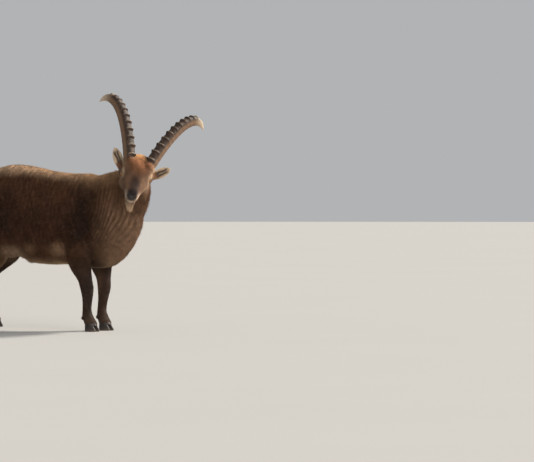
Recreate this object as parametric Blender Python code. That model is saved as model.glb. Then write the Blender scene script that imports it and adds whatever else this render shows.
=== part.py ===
"""A life-size model of a male alpine ibex standing on four feet, its head turned to its right.

Units are metres and +Z is up. The animal heads along +X and its left is +Y. Everything is first laid
out with X = Y = 0 midway between the front feet, and is moved at the end so that the origin is the
middle of the footprint, on the floor.
"""

import math

import bmesh
import bpy
import numpy as np
from mathutils import Matrix, Vector

# Driving sizes of the whole animal.
FOOTPRINT_MIDDLE = Vector((-0.2451, 0.1038, 0.0))
CUT = 0.0003

# Head: the point midway between the eyes, and how the head is turned.
EYE_MIDDLE = Vector((0.3683, -0.0928, 0.886))
HEAD_YAW = math.radians(-46.7)
HEAD_ROLL = math.radians(15.2)
HEAD_PITCH = math.radians(41.5)

# Eyes.
EYE_SIDE = 0.0720
EYE_RADIUS = 0.0190
EYE_LOOK = Vector((0.77, 0.13, 0.61))
LID_THICKNESS = 0.0034
LID_HALF_LENGTH = 0.0166
LID_HALF_HEIGHT = 0.0118

# Horns: each one arc in an upright plane turned outwards, the left one a little more than the right.
HORN_LENGTH = 0.572
HORN_BASE_SIDE = 0.0596
HORN_BASE_UP = 0.0772
HORN_BASE_FORWARD = -0.0060
HORN_SPREAD = {-1: math.radians(35.7), 1: math.radians(39.6)}
HORN_HALF_WIDTH = 0.0272
HORN_HALF_DEPTH = 0.0390
HORN_SUNK = 0.014
HORN_SUNK_SHARE = 0.025
HORN_STEPS = 400
HORN_SEAT_RINGS = 14
HORN_KNOBS = 11
FIRST_KNOB = 0.055
FIRST_KNOB_GAP = 0.096
KNOB_GAP_SHARE = 0.945
KNOB_RISE = 0.0105

# How far a horn leans back from upright: degrees at its base, then what an even and a late bend add.
HORN_LEAN = 26.4
HORN_EVEN_BEND = 27.9
HORN_LATE_BEND = 88.9
HORN_LATENESS = 4.5

# Feet: where the middle of each hoof stands.
FEET = {
    "front_right": Vector((0.005, -0.085, 0.0)),
    "front_left": Vector((-0.034, 0.085, 0.0)),
    "hind_right": Vector((-0.770, -0.095, 0.0)),
    "hind_left": Vector((-0.900, 0.095, 0.0)),
}
HOOF_HEIGHT = 0.046
HIND_STANCE = -0.770
TAIL_ROOT = -0.862

# Colours and how dull each surface is.
FLANK_BROWN = (0.075, 0.046, 0.030)
NECK_BROWN = (0.100, 0.066, 0.045)
LEG_BROWN = (0.048, 0.034, 0.028)
FACE_BROWN = (0.090, 0.058, 0.040)
EAR_BROWN = (0.120, 0.086, 0.060)
HORN_BROWN = (0.160, 0.115, 0.080)
HOOF_GREY = (0.030, 0.026, 0.024)
AMBER = (0.420, 0.200, 0.050)
COAT_ROUGHNESS = 0.85
HORN_ROUGHNESS = 0.55
HOOF_ROUGHNESS = 0.50
EYE_ROUGHNESS = 0.15

# How fine the flesh is before and after it is thinned to facets, and how widely it is evened out.
BODY_VOXEL = 0.0055
HEAD_VOXEL = 0.0028
BODY_TRIANGLES = 7000
HEAD_TRIANGLES = 4200
BODY_LIGHT_ROUNDS = 3
HEAD_LIGHT_ROUNDS = 12
SOFT_REACH = 0.016

# Where the head and the neck are parted, and the neck and the trunk.
HEAD_CUT_TILT = math.radians(14.0)
HEAD_CUT_BACK = 0.060
NECK_CUT_POINT = Vector((0.100, 0.0, 0.735))
NECK_CUT_NORMAL = Vector((0.85, 0.0, 0.53)).normalized()

# Slanting cuts that part the legs from the body: height at an inner edge, and the slopes outwards and back.
FORE_CUT_HEIGHT = 0.372
FORE_CUT_EDGE = 0.060
FORE_CUT_SLOPE = 0.65
HIND_CUT_HEIGHT = 0.430
HIND_CUT_EDGE = 0.040
HIND_CUT_SLOPE = 0.75
HIND_CUT_BACK_SLOPE = 0.40
HIND_CUT_START = -0.70
FORE_LEG_REACH = (-0.22, 0.20)
HIND_LEG_REACH = (-1.10, -0.46)
LEG_SPACE_SIDES = (0.001, 0.26)


def material(name, colour, roughness):
    """A plain coloured surface."""
    made = bpy.data.materials.new(name)
    made.use_nodes = True
    shader = made.node_tree.nodes["Principled BSDF"]
    shader.inputs["Base Color"].default_value = (*colour, 1.0)
    shader.inputs["Roughness"].default_value = roughness
    return made


def add_object(name, mesh, surface=None):
    """Links a mesh as a named object."""
    made = bpy.data.objects.new(name, mesh)
    bpy.context.scene.collection.objects.link(made)
    if surface:
        mesh.materials.append(surface)
    return made


def remove_object(thing):
    """Takes a helper object out of the file."""
    bpy.data.objects.remove(thing)


def evaluated_copy(thing):
    """A plain mesh of the object as its modifiers leave it."""
    bpy.context.view_layer.update()
    graph = bpy.context.evaluated_depsgraph_get()
    return bpy.data.meshes.new_from_object(thing.evaluated_get(graph))


def smooth_rows(rows, count):
    """Rows of station values, read off at count even steps along a smooth curve through them."""
    table = np.array(rows, float)
    gaps = np.linalg.norm(np.diff(table[:, :3], axis=0), axis=1)
    along = np.concatenate([[0.0], np.cumsum(gaps)])
    slopes = np.gradient(table, along, axis=0)
    wanted = np.linspace(0.0, along[-1], count)
    found = []
    for place in wanted:
        i = min(int(np.searchsorted(along, place, side="right")) - 1, len(rows) - 2)
        span = along[i + 1] - along[i]
        t = (place - along[i]) / span
        near = (2 * t**3 - 3 * t**2 + 1) * table[i] + (t**3 - 2 * t**2 + t) * span * slopes[i]
        far = (3 * t**2 - 2 * t**3) * table[i + 1] + (t**3 - t**2) * span * slopes[i + 1]
        found.append(near + far)
    return found


def ring(centre, side, up, half_width, rise, drop, power=2.0, egg=0.0, count=28):
    """One closed outline: half_width to each side, rise above and drop below the centre."""
    points = []
    for k in range(count):
        angle = 2 * math.pi * k / count
        c, s = math.cos(angle), math.sin(angle)
        across = half_width * math.copysign(abs(c) ** (2 / power), c) * (1 + egg * s)
        upward = (rise if s > 0 else drop) * math.copysign(abs(s) ** (2 / power), s)
        points.append(centre + side * across + up * upward)
    return points


def add_loft(bm, rings):
    """Skins a row of outlines into a closed tube."""
    loops = [[bm.verts.new(point) for point in outline] for outline in rings]
    count = len(loops[0])
    for low, high in zip(loops, loops[1:]):
        for k in range(count):
            after = (k + 1) % count
            bm.faces.new((low[k], low[after], high[after], high[k]))
    for loop, turn in ((loops[0], -1), (loops[-1], 1)):
        middle = bm.verts.new(sum((v.co for v in loop), Vector()) / count)
        for k in range(count):
            pair = (loop[k], loop[(k + 1) % count])
            bm.faces.new((*pair[::turn], middle))
    return loops


def add_ball(bm, centre, radii, frame=None, segments=20, rings=12):
    """An ellipsoid whose radii lie along the axes of frame."""
    turned = frame.to_4x4() if frame else Matrix.Identity(4)
    placed = Matrix.Translation(centre) @ turned @ Matrix.Diagonal((*radii, 1.0))
    bmesh.ops.create_uvsphere(bm, u_segments=segments, v_segments=rings, radius=1.0, matrix=placed)


def add_tube(bm, rows, count, forward=Vector((1, 0, 0)), power=2.0, sides=20):
    """A limb: rows of x, y, z, front radius, rear radius and side radius, skinned along its path."""
    path = smooth_rows(rows, count)
    rings = []
    for i, row in enumerate(path):
        ahead = Vector(path[min(i + 1, count - 1)][:3]) - Vector(path[max(i - 1, 0)][:3])
        along = ahead.normalized()
        side = along.cross(forward).normalized()
        front = side.cross(along).normalized()
        rings.append(ring(Vector(row[:3]), side, front, row[5], row[3], row[4], power, 0.0, sides))
    add_loft(bm, rings)


def head_axes():
    """The head's own left, dorsal and face directions, as the columns of a matrix."""
    forward = Vector((math.cos(HEAD_YAW), math.sin(HEAD_YAW), 0.0))
    left = Vector((-forward.y, forward.x, 0.0))
    up = Vector((0, 0, 1))
    rolled_up = math.cos(HEAD_ROLL) * up + math.sin(HEAD_ROLL) * left
    rolled_left = math.cos(HEAD_ROLL) * left - math.sin(HEAD_ROLL) * up
    face = math.cos(HEAD_PITCH) * forward - math.sin(HEAD_PITCH) * rolled_up
    dorsal = math.cos(HEAD_PITCH) * rolled_up + math.sin(HEAD_PITCH) * forward
    level = Matrix((rolled_left, rolled_up, forward)).transposed()
    pitched = Matrix((rolled_left, dorsal, face)).transposed()
    return level, pitched


LEVEL_HEAD, HEAD = head_axes()


def on_head(left, dorsal, face):
    """A point of the head, by its distances left, dorsal and along the face from between the eyes."""
    return EYE_MIDDLE + HEAD @ Vector((left, dorsal, face))


def on_level_head(left, up, forward):
    """A point of the head by distances that ignore the face's pitch."""
    return EYE_MIDDLE + LEVEL_HEAD @ Vector((left, up, forward))


# Trunk: x, y, widest level, half width, rise to the back, drop to the belly.
TRUNK = (
    (-0.885, 0.0, 0.745, 0.030, 0.030, 0.040),
    (-0.870, 0.0, 0.740, 0.075, 0.085, 0.090),
    (-0.830, 0.0, 0.720, 0.115, 0.165, 0.150),
    (-0.760, 0.0, 0.690, 0.142, 0.245, 0.195),
    (-0.660, 0.0, 0.665, 0.155, 0.295, 0.215),
    (-0.540, 0.0, 0.635, 0.160, 0.322, 0.222),
    (-0.430, 0.0, 0.610, 0.168, 0.331, 0.225),
    (-0.320, 0.0, 0.600, 0.173, 0.322, 0.220),
    (-0.210, 0.0, 0.605, 0.170, 0.306, 0.222),
    (-0.110, 0.0, 0.610, 0.160, 0.298, 0.234),
    (-0.030, 0.0, 0.615, 0.148, 0.290, 0.250),
    (0.050, 0.0, 0.610, 0.138, 0.270, 0.246),
    (0.120, 0.0, 0.600, 0.125, 0.230, 0.220),
    (0.190, 0.0, 0.600, 0.105, 0.160, 0.170),
    (0.245, 0.0, 0.605, 0.075, 0.090, 0.105),
    (0.268, 0.0, 0.605, 0.035, 0.040, 0.045),
)
TRUNK_POWER = 2.25

# Neck: x, y, z, half width, rise to the crest, drop to the throat.
NECK = (
    (-0.060, 0.000, 0.665, 0.120, 0.215, 0.220),
    (0.070, 0.004, 0.715, 0.122, 0.190, 0.205),
    (0.170, 0.010, 0.762, 0.116, 0.168, 0.178),
    (0.245, 0.004, 0.808, 0.105, 0.145, 0.150),
    (0.300, -0.028, 0.852, 0.093, 0.118, 0.118),
    (0.335, -0.070, 0.878, 0.078, 0.088, 0.088),
)

# Throat and breast, a column in front of the neck: x, y, z, front, rear and side radius.
THROAT = (
    (0.262, -0.020, 0.862, 0.070, 0.100, 0.090),
    (0.222, 0.000, 0.790, 0.114, 0.120, 0.110),
    (0.187, 0.005, 0.720, 0.132, 0.140, 0.128),
    (0.164, 0.000, 0.650, 0.143, 0.140, 0.134),
    (0.141, 0.000, 0.585, 0.142, 0.140, 0.122),
    (0.104, 0.000, 0.500, 0.119, 0.120, 0.099),
    (0.062, 0.000, 0.435, 0.084, 0.090, 0.076),
    (0.045, 0.000, 0.400, 0.045, 0.050, 0.050),
)

# Skull: left 0, dorsal level of the widest line, place along the face, half width, rise, drop.
SKULL = (
    (0.0, -0.005, -0.116, 0.044, 0.040, 0.040),
    (0.0, -0.005, -0.100, 0.066, 0.068, 0.066),
    (0.0, -0.004, -0.070, 0.085, 0.095, 0.086),
    (0.0, -0.004, -0.035, 0.090, 0.093, 0.094),
    (0.0, -0.005, 0.000, 0.087, 0.078, 0.094),
    (0.0, -0.010, 0.030, 0.079, 0.067, 0.086),
    (0.0, -0.015, 0.062, 0.067, 0.057, 0.073),
    (0.0, -0.019, 0.095, 0.052, 0.049, 0.058),
    (0.0, -0.021, 0.122, 0.043, 0.041, 0.047),
    (0.0, -0.023, 0.143, 0.039, 0.034, 0.046),
    (0.0, -0.026, 0.158, 0.030, 0.024, 0.037),
    (0.0, -0.029, 0.167, 0.013, 0.010, 0.016),
)
SKULL_POWER = 2.3

# Lower jaw under the skull, in the same terms.
JAW = (
    (0.0, -0.062, -0.040, 0.050, 0.030, 0.030),
    (0.0, -0.066, 0.000, 0.056, 0.030, 0.034),
    (0.0, -0.069, 0.035, 0.053, 0.030, 0.032),
    (0.0, -0.071, 0.065, 0.044, 0.029, 0.029),
    (0.0, -0.073, 0.095, 0.036, 0.026, 0.025),
    (0.0, -0.075, 0.122, 0.033, 0.023, 0.025),
    (0.0, -0.077, 0.143, 0.027, 0.016, 0.021),
    (0.0, -0.078, 0.153, 0.012, 0.007, 0.010),
)

# One side of the mouth's line, from its corner to the middle of the lips: left, dorsal, face.
MOUTH = (
    (0.049, -0.052, 0.078),
    (0.041, -0.057, 0.102),
    (0.034, -0.062, 0.124),
    (0.028, -0.065, 0.145),
    (0.016, -0.066, 0.160),
    (0.000, -0.065, 0.165),
)
MOUTH_DEPTH = 0.0055
MOUTH_GAPE = 0.0032

# Nostrils: place on the animal's left, radii, and how they are turned outwards and tipped.
NOSTRIL_PLACE = (0.0200, -0.012, 0.1580)
NOSTRIL_RADII = (0.0042, 0.0088, 0.0100)
NOSTRIL_TURN = math.radians(24.0)
NOSTRIL_TIP = math.radians(-18.0)

# Rounded masses under the head's skin: left, dorsal, face, then three radii. The first two are the
# crown and the forehead; the others are a cheek, a brow and a nostril's wing, each on both sides.
MIDDLE_MASSES = (
    ((0.0, 0.040, -0.070), (0.066, 0.056, 0.050)),
    ((0.0, 0.020, -0.034), (0.080, 0.072, 0.080)),
)
PAIRED_MASSES = (
    ((0.052, -0.050, -0.006), (0.036, 0.046, 0.060)),
    ((0.063, 0.020, -0.008), (0.027, 0.018, 0.034)),
    ((0.021, -0.028, 0.141), (0.018, 0.022, 0.022)),
)


def add_trunk(bm):
    """The barrel of the body from the breast to the buttocks."""
    side, up = Vector((0, 1, 0)), Vector((0, 0, 1))
    rings = [
        ring(Vector(row[:3]), side, up, row[3], row[4], row[5], TRUNK_POWER, -0.10, 36)
        for row in smooth_rows(TRUNK, 44)
    ]
    add_loft(bm, rings)


def add_neck(bm):
    """The thick neck, bending up and to the right towards the head."""
    rows = smooth_rows(NECK, 24)
    rings = []
    for i, row in enumerate(rows):
        ahead = Vector(rows[min(i + 1, 23)][:3]) - Vector(rows[max(i - 1, 0)][:3])
        along = ahead.normalized()
        side = Vector((0, 0, 1)).cross(along).normalized()
        up = along.cross(side).normalized()
        rings.append(ring(Vector(row[:3]), side, up, row[3], row[4], row[5], 2.15, -0.05, 32))
    add_loft(bm, rings)


def add_head_tube(bm, stations, count, power, egg):
    """A tube along the face, from stations in the head's own directions."""
    side, up = HEAD.col[0].copy(), HEAD.col[1].copy()
    rings = []
    for left, dorsal, face, half_width, rise, drop in smooth_rows(stations, count):
        centre = on_head(left, dorsal, face)
        rings.append(ring(centre, side, up, half_width, rise, drop, power, egg, 28))
    add_loft(bm, rings)


def add_head(bm):
    """Skull, jaw, cheeks, brows and nostril wings, with the flesh that carries the ears and the horns."""
    add_head_tube(bm, SKULL, 40, SKULL_POWER, 0.03)
    add_head_tube(bm, JAW, 24, 2.2, 0.0)
    for place, radii in MIDDLE_MASSES:
        add_ball(bm, on_head(*place), radii, HEAD)
    for mirror in (-1, 1):
        for (left, dorsal, face), radii in PAIRED_MASSES:
            add_ball(bm, on_head(left * mirror, dorsal, face), radii, HEAD)
        add_horn_stump(bm, mirror)
        add_ear_stump(bm, mirror)


def eye_frame(mirror):
    """Where an eye sits, the way it looks, and the lines along and across its opening."""
    centre = on_head(EYE_SIDE * mirror, 0.0, 0.0)
    look = (HEAD @ Vector((EYE_LOOK.x * mirror, EYE_LOOK.y, EYE_LOOK.z))).normalized()
    ahead = HEAD @ Vector((0.0, -0.22, 1.0))
    lengthwise = (ahead - look * look.dot(ahead)).normalized()
    return centre, look, lengthwise, look.cross(lengthwise) * mirror


def make_ball(name, centre, radius, frame, segments=16, rings=12):
    """A helper or an eye: one ball as its own object."""
    bm = bmesh.new()
    add_ball(bm, centre, (radius,) * 3, frame, segments, rings)
    return finish_mesh(bm, name)


def eye_opening(mirror):
    """The almond-shaped space between the lids, widening outwards from the middle of the eye."""
    centre, look, lengthwise, upward = eye_frame(mirror)
    rings = []
    for reach in (0.35, 1.0, 2.6):
        size = reach * EYE_RADIUS
        outline = []
        for k in range(18):
            angle = 2 * math.pi * k / 18
            along, across = math.cos(angle), math.sin(angle)
            height = LID_HALF_HEIGHT * across * (1 - 0.35 * along**2)
            point = lengthwise * LID_HALF_LENGTH * along + upward * height
            outline.append(centre + look * size + point * reach)
        rings.append(outline)
    bm = bmesh.new()
    add_loft(bm, rings)
    return as_cutter(finish_mesh(bm, f"eye_opening_{mirror}"))


def mouth_slit():
    """A thin wedge that cuts the line of the mouth round the muzzle."""
    half = smooth_rows(MOUTH, 14)
    path = [Vector(row) for row in half] + [Vector((-row[0], row[1], row[2])) for row in half[-2::-1]]
    rings = []
    for i, point in enumerate(path):
        ahead = path[min(i + 1, len(path) - 1)] - path[max(i - 1, 0)]
        out = Vector((0, 1, 0)).cross(ahead).normalized()
        if out.dot(point - Vector((0, point.y, 0.06))) < 0:
            out = -out
        closing = 0.45 if i in (0, len(path) - 1) else 1.0
        deep, wide = point - out * MOUTH_DEPTH * closing, point + out * 0.022
        lift = Vector((0, 0.5 * MOUTH_GAPE * closing, 0))
        corners = (deep + 0.3 * lift, wide + 2.2 * lift, wide - 2.2 * lift, deep - 0.3 * lift)
        rings.append([on_head(*corner) for corner in corners])
    bm = bmesh.new()
    add_loft(bm, rings)
    return as_cutter(finish_mesh(bm, "mouth_slit"))


def nostril(mirror):
    """The slanting hollow of a nostril."""
    outwards = Matrix.Rotation(NOSTRIL_TURN * mirror, 3, "Z")
    turn = HEAD @ outwards @ Matrix.Rotation(NOSTRIL_TIP, 3, "X")
    left, dorsal, face = NOSTRIL_PLACE
    bm = bmesh.new()
    add_ball(bm, on_head(left * mirror, dorsal, face), NOSTRIL_RADII, turn, 14, 10)
    return as_cutter(finish_mesh(bm, f"nostril_{mirror}"))


def horn_path(mirror):
    """Share of length, centre, tangent and front direction along a horn, laid out on the left side."""
    spread = Vector((math.sin(HORN_SPREAD[mirror]), 0, -math.cos(HORN_SPREAD[mirror])))
    centre = Vector((HORN_BASE_SIDE, HORN_BASE_UP, HORN_BASE_FORWARD))
    found = []
    for k in range(HORN_STEPS + 1):
        t = k / HORN_STEPS
        lean = math.radians(HORN_LEAN + HORN_EVEN_BEND * t + HORN_LATE_BEND * t**HORN_LATENESS)
        tangent = spread * math.sin(lean) + Vector((0, 1, 0)) * math.cos(lean)
        front = Vector((0, 1, 0)) * math.sin(lean) - spread * math.cos(lean)
        found.append((t, centre.copy(), tangent, front))
        centre = centre + tangent * HORN_LENGTH / HORN_STEPS
    return found


def horn_section(t):
    """Half width and half depth of a horn at share t of its length."""
    narrowing = 1 - 0.11 * t - 0.20 * t**3 - 0.66 * t**8
    return HORN_HALF_WIDTH * narrowing, HORN_HALF_DEPTH * narrowing


def horn_frame(mirror, centre, tangent, front):
    """A horn station's point and directions in the world, mirrored for the right side."""
    flip = Matrix.Diagonal((mirror, 1, 1))
    place = EYE_MIDDLE + LEVEL_HEAD @ (flip @ centre)
    along = LEVEL_HEAD @ (flip @ tangent)
    forward = LEVEL_HEAD @ (flip @ front)
    return place, along, forward, along.cross(forward)


def knob_places():
    """Where the horn's cross ridges are, closer together towards the tip."""
    places = []
    place, gap = FIRST_KNOB, FIRST_KNOB_GAP
    for _ in range(HORN_KNOBS):
        places.append(place)
        place += gap
        gap *= KNOB_GAP_SHARE
    return places


def horn_stations():
    """Share of the length and height of ridge for each ring of a horn."""
    stations = [(0.0, 0.0), (0.025, 0.0)]
    for place in knob_places():
        size = 1 - 0.35 * place
        for offset, height in ((-0.024, 0.0), (-0.011, 0.85), (0.005, 1.0), (0.016, 0.0)):
            stations.append((place + offset * size, height * size))
    last = stations[-1][0]
    stations += [(last + (1 - last) * share, 0.0) for share in (0.2, 0.4, 0.6, 0.75, 0.88, 0.96, 1.0)]
    return stations


def horn_rings(mirror, stations, grow=0.0):
    """The outlines of a horn at its stations, every one larger by grow."""
    path = horn_path(mirror)
    rings = []
    for t, height in stations:
        _, centre, tangent, front = path[round(t * HORN_STEPS)]
        place, along, forward, side = horn_frame(mirror, centre, tangent, front)
        half_width, half_depth = (size + grow for size in horn_section(t))
        knob = KNOB_RISE * height
        place = place - along * HORN_SUNK * max(0.0, 1 - t / HORN_SUNK_SHARE)
        front_reach = half_depth * 0.92 + knob
        half_width += 0.18 * knob
        rings.append(ring(place, side, forward, half_width, front_reach, half_depth, 2.5, 0.16, 12))
    return rings


def make_horn(mirror, surface):
    """A ringed horn with knobs across its front."""
    bm = bmesh.new()
    add_loft(bm, horn_rings(mirror, horn_stations()))
    return finish_mesh(bm, "horn_left" if mirror > 0 else "horn_right", surface)


def horn_seat(mirror):
    """The space a horn needs in the head, with a gap all round."""
    rings = horn_rings(mirror, horn_stations()[:HORN_SEAT_RINGS], 2 * CUT)
    _, centre, tangent, front = horn_path(mirror)[0]
    _, along, _, _ = horn_frame(mirror, centre, tangent, front)
    rings[0] = [point - along * CUT for point in rings[0]]
    bm = bmesh.new()
    add_loft(bm, rings)
    return as_cutter(finish_mesh(bm, f"horn_seat_{mirror}"))


# A horn's fleshy stump: place along the horn from its base, and how much wider than the horn it is.
HORN_STUMP = ((-0.056, -0.014), (-0.034, -0.002), (-0.018, 0.006), (-0.002, 0.0070), (0.004, 0.0045))


def add_horn_stump(bm, mirror):
    """The skin-covered bone that carries a horn, running a little past where the horn starts."""
    _, centre, tangent, front = horn_path(mirror)[0]
    place, along, forward, side = horn_frame(mirror, centre, tangent, front)
    half_width, half_depth = horn_section(0.0)
    rings = []
    for reach, wider in HORN_STUMP:
        wide, deep = half_width + wider, half_depth + wider
        rings.append(ring(place + along * reach, side, forward, wide, deep, deep, 2.3, 0.1))
    add_loft(bm, rings)


# Ears: base, tip and the way each opens, by distances left, up and forward of a level head.
EARS = {
    -1: ((-0.089, 0.022, -0.045), (-0.156, 0.129, -0.062), (-0.20, -0.05, 1.0)),
    1: ((0.091, 0.021, -0.045), (0.182, 0.095, -0.080), (0.05, -0.20, 1.0)),
}
EAR_HALF_WIDTH = 0.0285
EAR_CUP = 0.0150
EAR_THICKNESS = 0.0046


def ear_frame(mirror):
    """Base point, length, and the ear's lengthwise, opening and crosswise directions."""
    base, tip, opening = (Vector(values) for values in EARS[mirror])
    start = EYE_MIDDLE + LEVEL_HEAD @ base
    reach = LEVEL_HEAD @ (tip - base)
    along = reach.normalized()
    faces = LEVEL_HEAD @ opening
    faces = (faces - along * faces.dot(along)).normalized()
    return start, reach.length, along, faces, along.cross(faces)


def ear_outline(centre, across, faces, half_width, cup, hollow):
    """The ear's section: a full oval where hollow is 0, a thin cup where it is 1."""
    points = []
    for k in range(9):
        angle = math.pi * (k / 8 - 0.5)
        points.append(centre + across * half_width * math.sin(angle) - faces * cup * math.cos(angle))
    inner_width = half_width - 0.35 * EAR_THICKNESS * hollow
    inner_cup = (cup - EAR_THICKNESS) * hollow - 0.75 * cup * (1 - hollow)
    for k in range(7):
        angle = math.pi * (0.5 - (k + 1) / 8)
        points.append(centre + across * inner_width * math.sin(angle) - faces * inner_cup * math.cos(angle))
    return points


EAR_STATIONS = (
    (-0.12, 0.50, 0.78, 0.0),
    (0.00, 0.56, 0.84, 0.0),
    (0.09, 0.64, 0.90, 0.0),
    (0.19, 0.78, 0.98, 0.75),
    (0.32, 0.93, 1.00, 1.0),
    (0.48, 1.00, 0.92, 1.0),
    (0.64, 0.96, 0.78, 1.0),
    (0.79, 0.78, 0.62, 1.0),
    (0.90, 0.54, 0.48, 1.0),
    (0.97, 0.30, 0.40, 1.0),
    (1.00, 0.13, 0.36, 1.0),
)


def ear_rings(mirror, stations, grow=0.0, hollowed=True):
    """The outlines of an ear at its stations, every one larger by grow."""
    start, length, along, faces, across = ear_frame(mirror)
    rings = []
    for t, wide, deep, hollow in stations:
        half_width, cup = EAR_HALF_WIDTH * wide + grow, EAR_CUP * deep + grow
        centre = start + along * length * t
        rings.append(ear_outline(centre, across, faces, half_width, cup, hollow * hollowed))
    return rings


def make_ear(mirror, surface):
    """A cupped, pointed ear."""
    bm = bmesh.new()
    add_loft(bm, ear_rings(mirror, EAR_STATIONS))
    return finish_mesh(bm, "ear_left" if mirror > 0 else "ear_right", surface)


def ear_seat(mirror):
    """The space an ear needs in the head, with a gap all round."""
    rings = ear_rings(mirror, EAR_STATIONS[:7], CUT, False)
    _, _, along, _, _ = ear_frame(mirror)
    rings[0] = [point - along * CUT for point in rings[0]]
    bm = bmesh.new()
    add_loft(bm, rings)
    return as_cutter(finish_mesh(bm, f"ear_seat_{mirror}"))


def add_ear_stump(bm, mirror):
    """The fleshy root that carries an ear."""
    start, _, along, faces, across = ear_frame(mirror)
    half_width, cup = EAR_HALF_WIDTH * 0.56, EAR_CUP * 0.84
    rings = [
        ring(start + along * reach, across, faces, half_width + wide, cup + wide, cup + wide, count=20)
        for reach, wide in ((-0.050, 0.010), (-0.020, 0.008), (0.000, 0.006), (0.007, 0.003))
    ]
    add_loft(bm, rings)


# Beard: where each lock leaves the chin (left, dorsal, face), its length and its half width.
BEARD = (
    (0.000, -0.089, 0.138, 0.040, 0.0150),
    (0.017, -0.085, 0.130, 0.044, 0.0150),
    (-0.017, -0.085, 0.130, 0.042, 0.0150),
    (0.007, -0.092, 0.124, 0.050, 0.0170),
    (-0.009, -0.092, 0.118, 0.054, 0.0170),
    (0.021, -0.086, 0.108, 0.044, 0.0160),
    (-0.021, -0.086, 0.106, 0.046, 0.0160),
    (0.002, -0.092, 0.098, 0.048, 0.0190),
)
BEARD_THICKNESS = 0.0050

# A lock from root to tip: share of its length, of its half width and of its thickness.
LOCK_STATIONS = (
    (-0.22, 0.85, 1.0),
    (0.20, 1.0, 1.0),
    (0.60, 0.82, 0.75),
    (0.86, 0.48, 0.5),
    (1.0, 0.16, 0.25),
)


def make_lock(place, length, half_width):
    """One flat, tapered lock of the beard, its root sunk in the chin."""
    start = on_head(*place)
    down = (HEAD @ Vector((place[0] * 4.0, -0.80, 0.46)) + Vector((0, 0, -0.65))).normalized()
    across = HEAD.col[0].copy()
    depth = across.cross(down).normalized()
    rings = []
    for t, wide, thick in LOCK_STATIONS:
        centre = start + down * length * t + depth * 0.10 * length * t * t
        half_depth = BEARD_THICKNESS * thick
        rings.append(ring(centre, across, depth, half_width * wide, half_depth, half_depth, count=6))
    bm = bmesh.new()
    add_loft(bm, rings)
    return finish_mesh(bm, "lock")


# Fore leg from shoulder to coronet: distance ahead of the foot, outwards, height, then radii.
FORE_LEG = (
    (-0.050, 0.095, 0.620, 0.105, 0.110, 0.056),
    (-0.056, 0.112, 0.520, 0.090, 0.098, 0.058),
    (-0.040, 0.119, 0.435, 0.077, 0.086, 0.052),
    (-0.022, 0.113, 0.365, 0.058, 0.076, 0.046),
    (-0.008, 0.105, 0.300, 0.044, 0.046, 0.039),
    (0.000, 0.097, 0.238, 0.040, 0.037, 0.037),
    (0.000, 0.093, 0.200, 0.032, 0.032, 0.032),
    (-0.004, 0.090, 0.155, 0.026, 0.029, 0.0275),
    (-0.006, 0.088, 0.115, 0.026, 0.030, 0.0275),
    (-0.002, 0.087, 0.086, 0.030, 0.034, 0.032),
    (0.008, 0.086, 0.062, 0.033, 0.032, 0.034),
    (0.017, 0.085, 0.040, 0.040, 0.033, 0.037),
    (0.019, 0.085, 0.026, 0.042, 0.034, 0.038),
)

# Hind leg from hip to coronet, in the same terms, and how much of a backward step each row takes.
HIND_LEG = (
    (0.075, 0.080, 0.730, 0.120, 0.140, 0.066, 0.0),
    (0.078, 0.098, 0.630, 0.140, 0.150, 0.076, 0.25),
    (0.080, 0.108, 0.540, 0.132, 0.140, 0.074, 0.60),
    (0.076, 0.112, 0.465, 0.108, 0.112, 0.062, 0.90),
    (0.048, 0.111, 0.395, 0.076, 0.076, 0.048, 1.10),
    (0.008, 0.107, 0.330, 0.048, 0.050, 0.036, 1.15),
    (-0.022, 0.102, 0.280, 0.040, 0.043, 0.032, 1.10),
    (-0.026, 0.099, 0.238, 0.035, 0.035, 0.030, 1.05),
    (-0.019, 0.097, 0.180, 0.027, 0.030, 0.0265, 1.0),
    (-0.014, 0.096, 0.120, 0.026, 0.030, 0.0275, 1.0),
    (-0.008, 0.096, 0.086, 0.031, 0.037, 0.033, 1.0),
    (0.006, 0.095, 0.062, 0.033, 0.031, 0.034, 1.0),
    (0.014, 0.095, 0.040, 0.039, 0.032, 0.036, 1.0),
    (0.016, 0.095, 0.026, 0.041, 0.033, 0.037, 1.0),
)


def side_of(foot_name):
    """-1 for the animal's right, 1 for its left."""
    return -1 if "right" in foot_name else 1


def add_leg(bm, foot_name):
    """A whole leg, its upper rows sunk in the trunk, with the two small rear claws."""
    foot = FEET[foot_name]
    mirror = side_of(foot_name)
    spread = abs(foot.y)
    if "front" in foot_name:
        outer = FORE_LEG[-1][1]
        rows = [
            (foot.x + x, mirror * (y + spread - outer), z, front, rear, side)
            for x, y, z, front, rear, side in FORE_LEG
        ]
    else:
        stride = foot.x - HIND_STANCE
        rows = [
            (HIND_STANCE + x + stride * share, mirror * y, z, front, rear, side)
            for x, y, z, front, rear, side, share in HIND_LEG
        ]
    add_tube(bm, rows, 40)
    fetlock = Vector(rows[-4][:3])
    behind, out, lower = REAR_CLAW_PLACE
    for inner in (-1, 1):
        add_ball(bm, fetlock + Vector((-behind, out * inner, -lower)), REAR_CLAW_RADII, segments=10, rings=8)


# The rear claws: distance behind the fetlock, to each side and below it, and the radii of each.
REAR_CLAW_PLACE = (0.031, 0.0145, 0.010)
REAR_CLAW_RADII = (0.0098, 0.0082, 0.0140)

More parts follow.
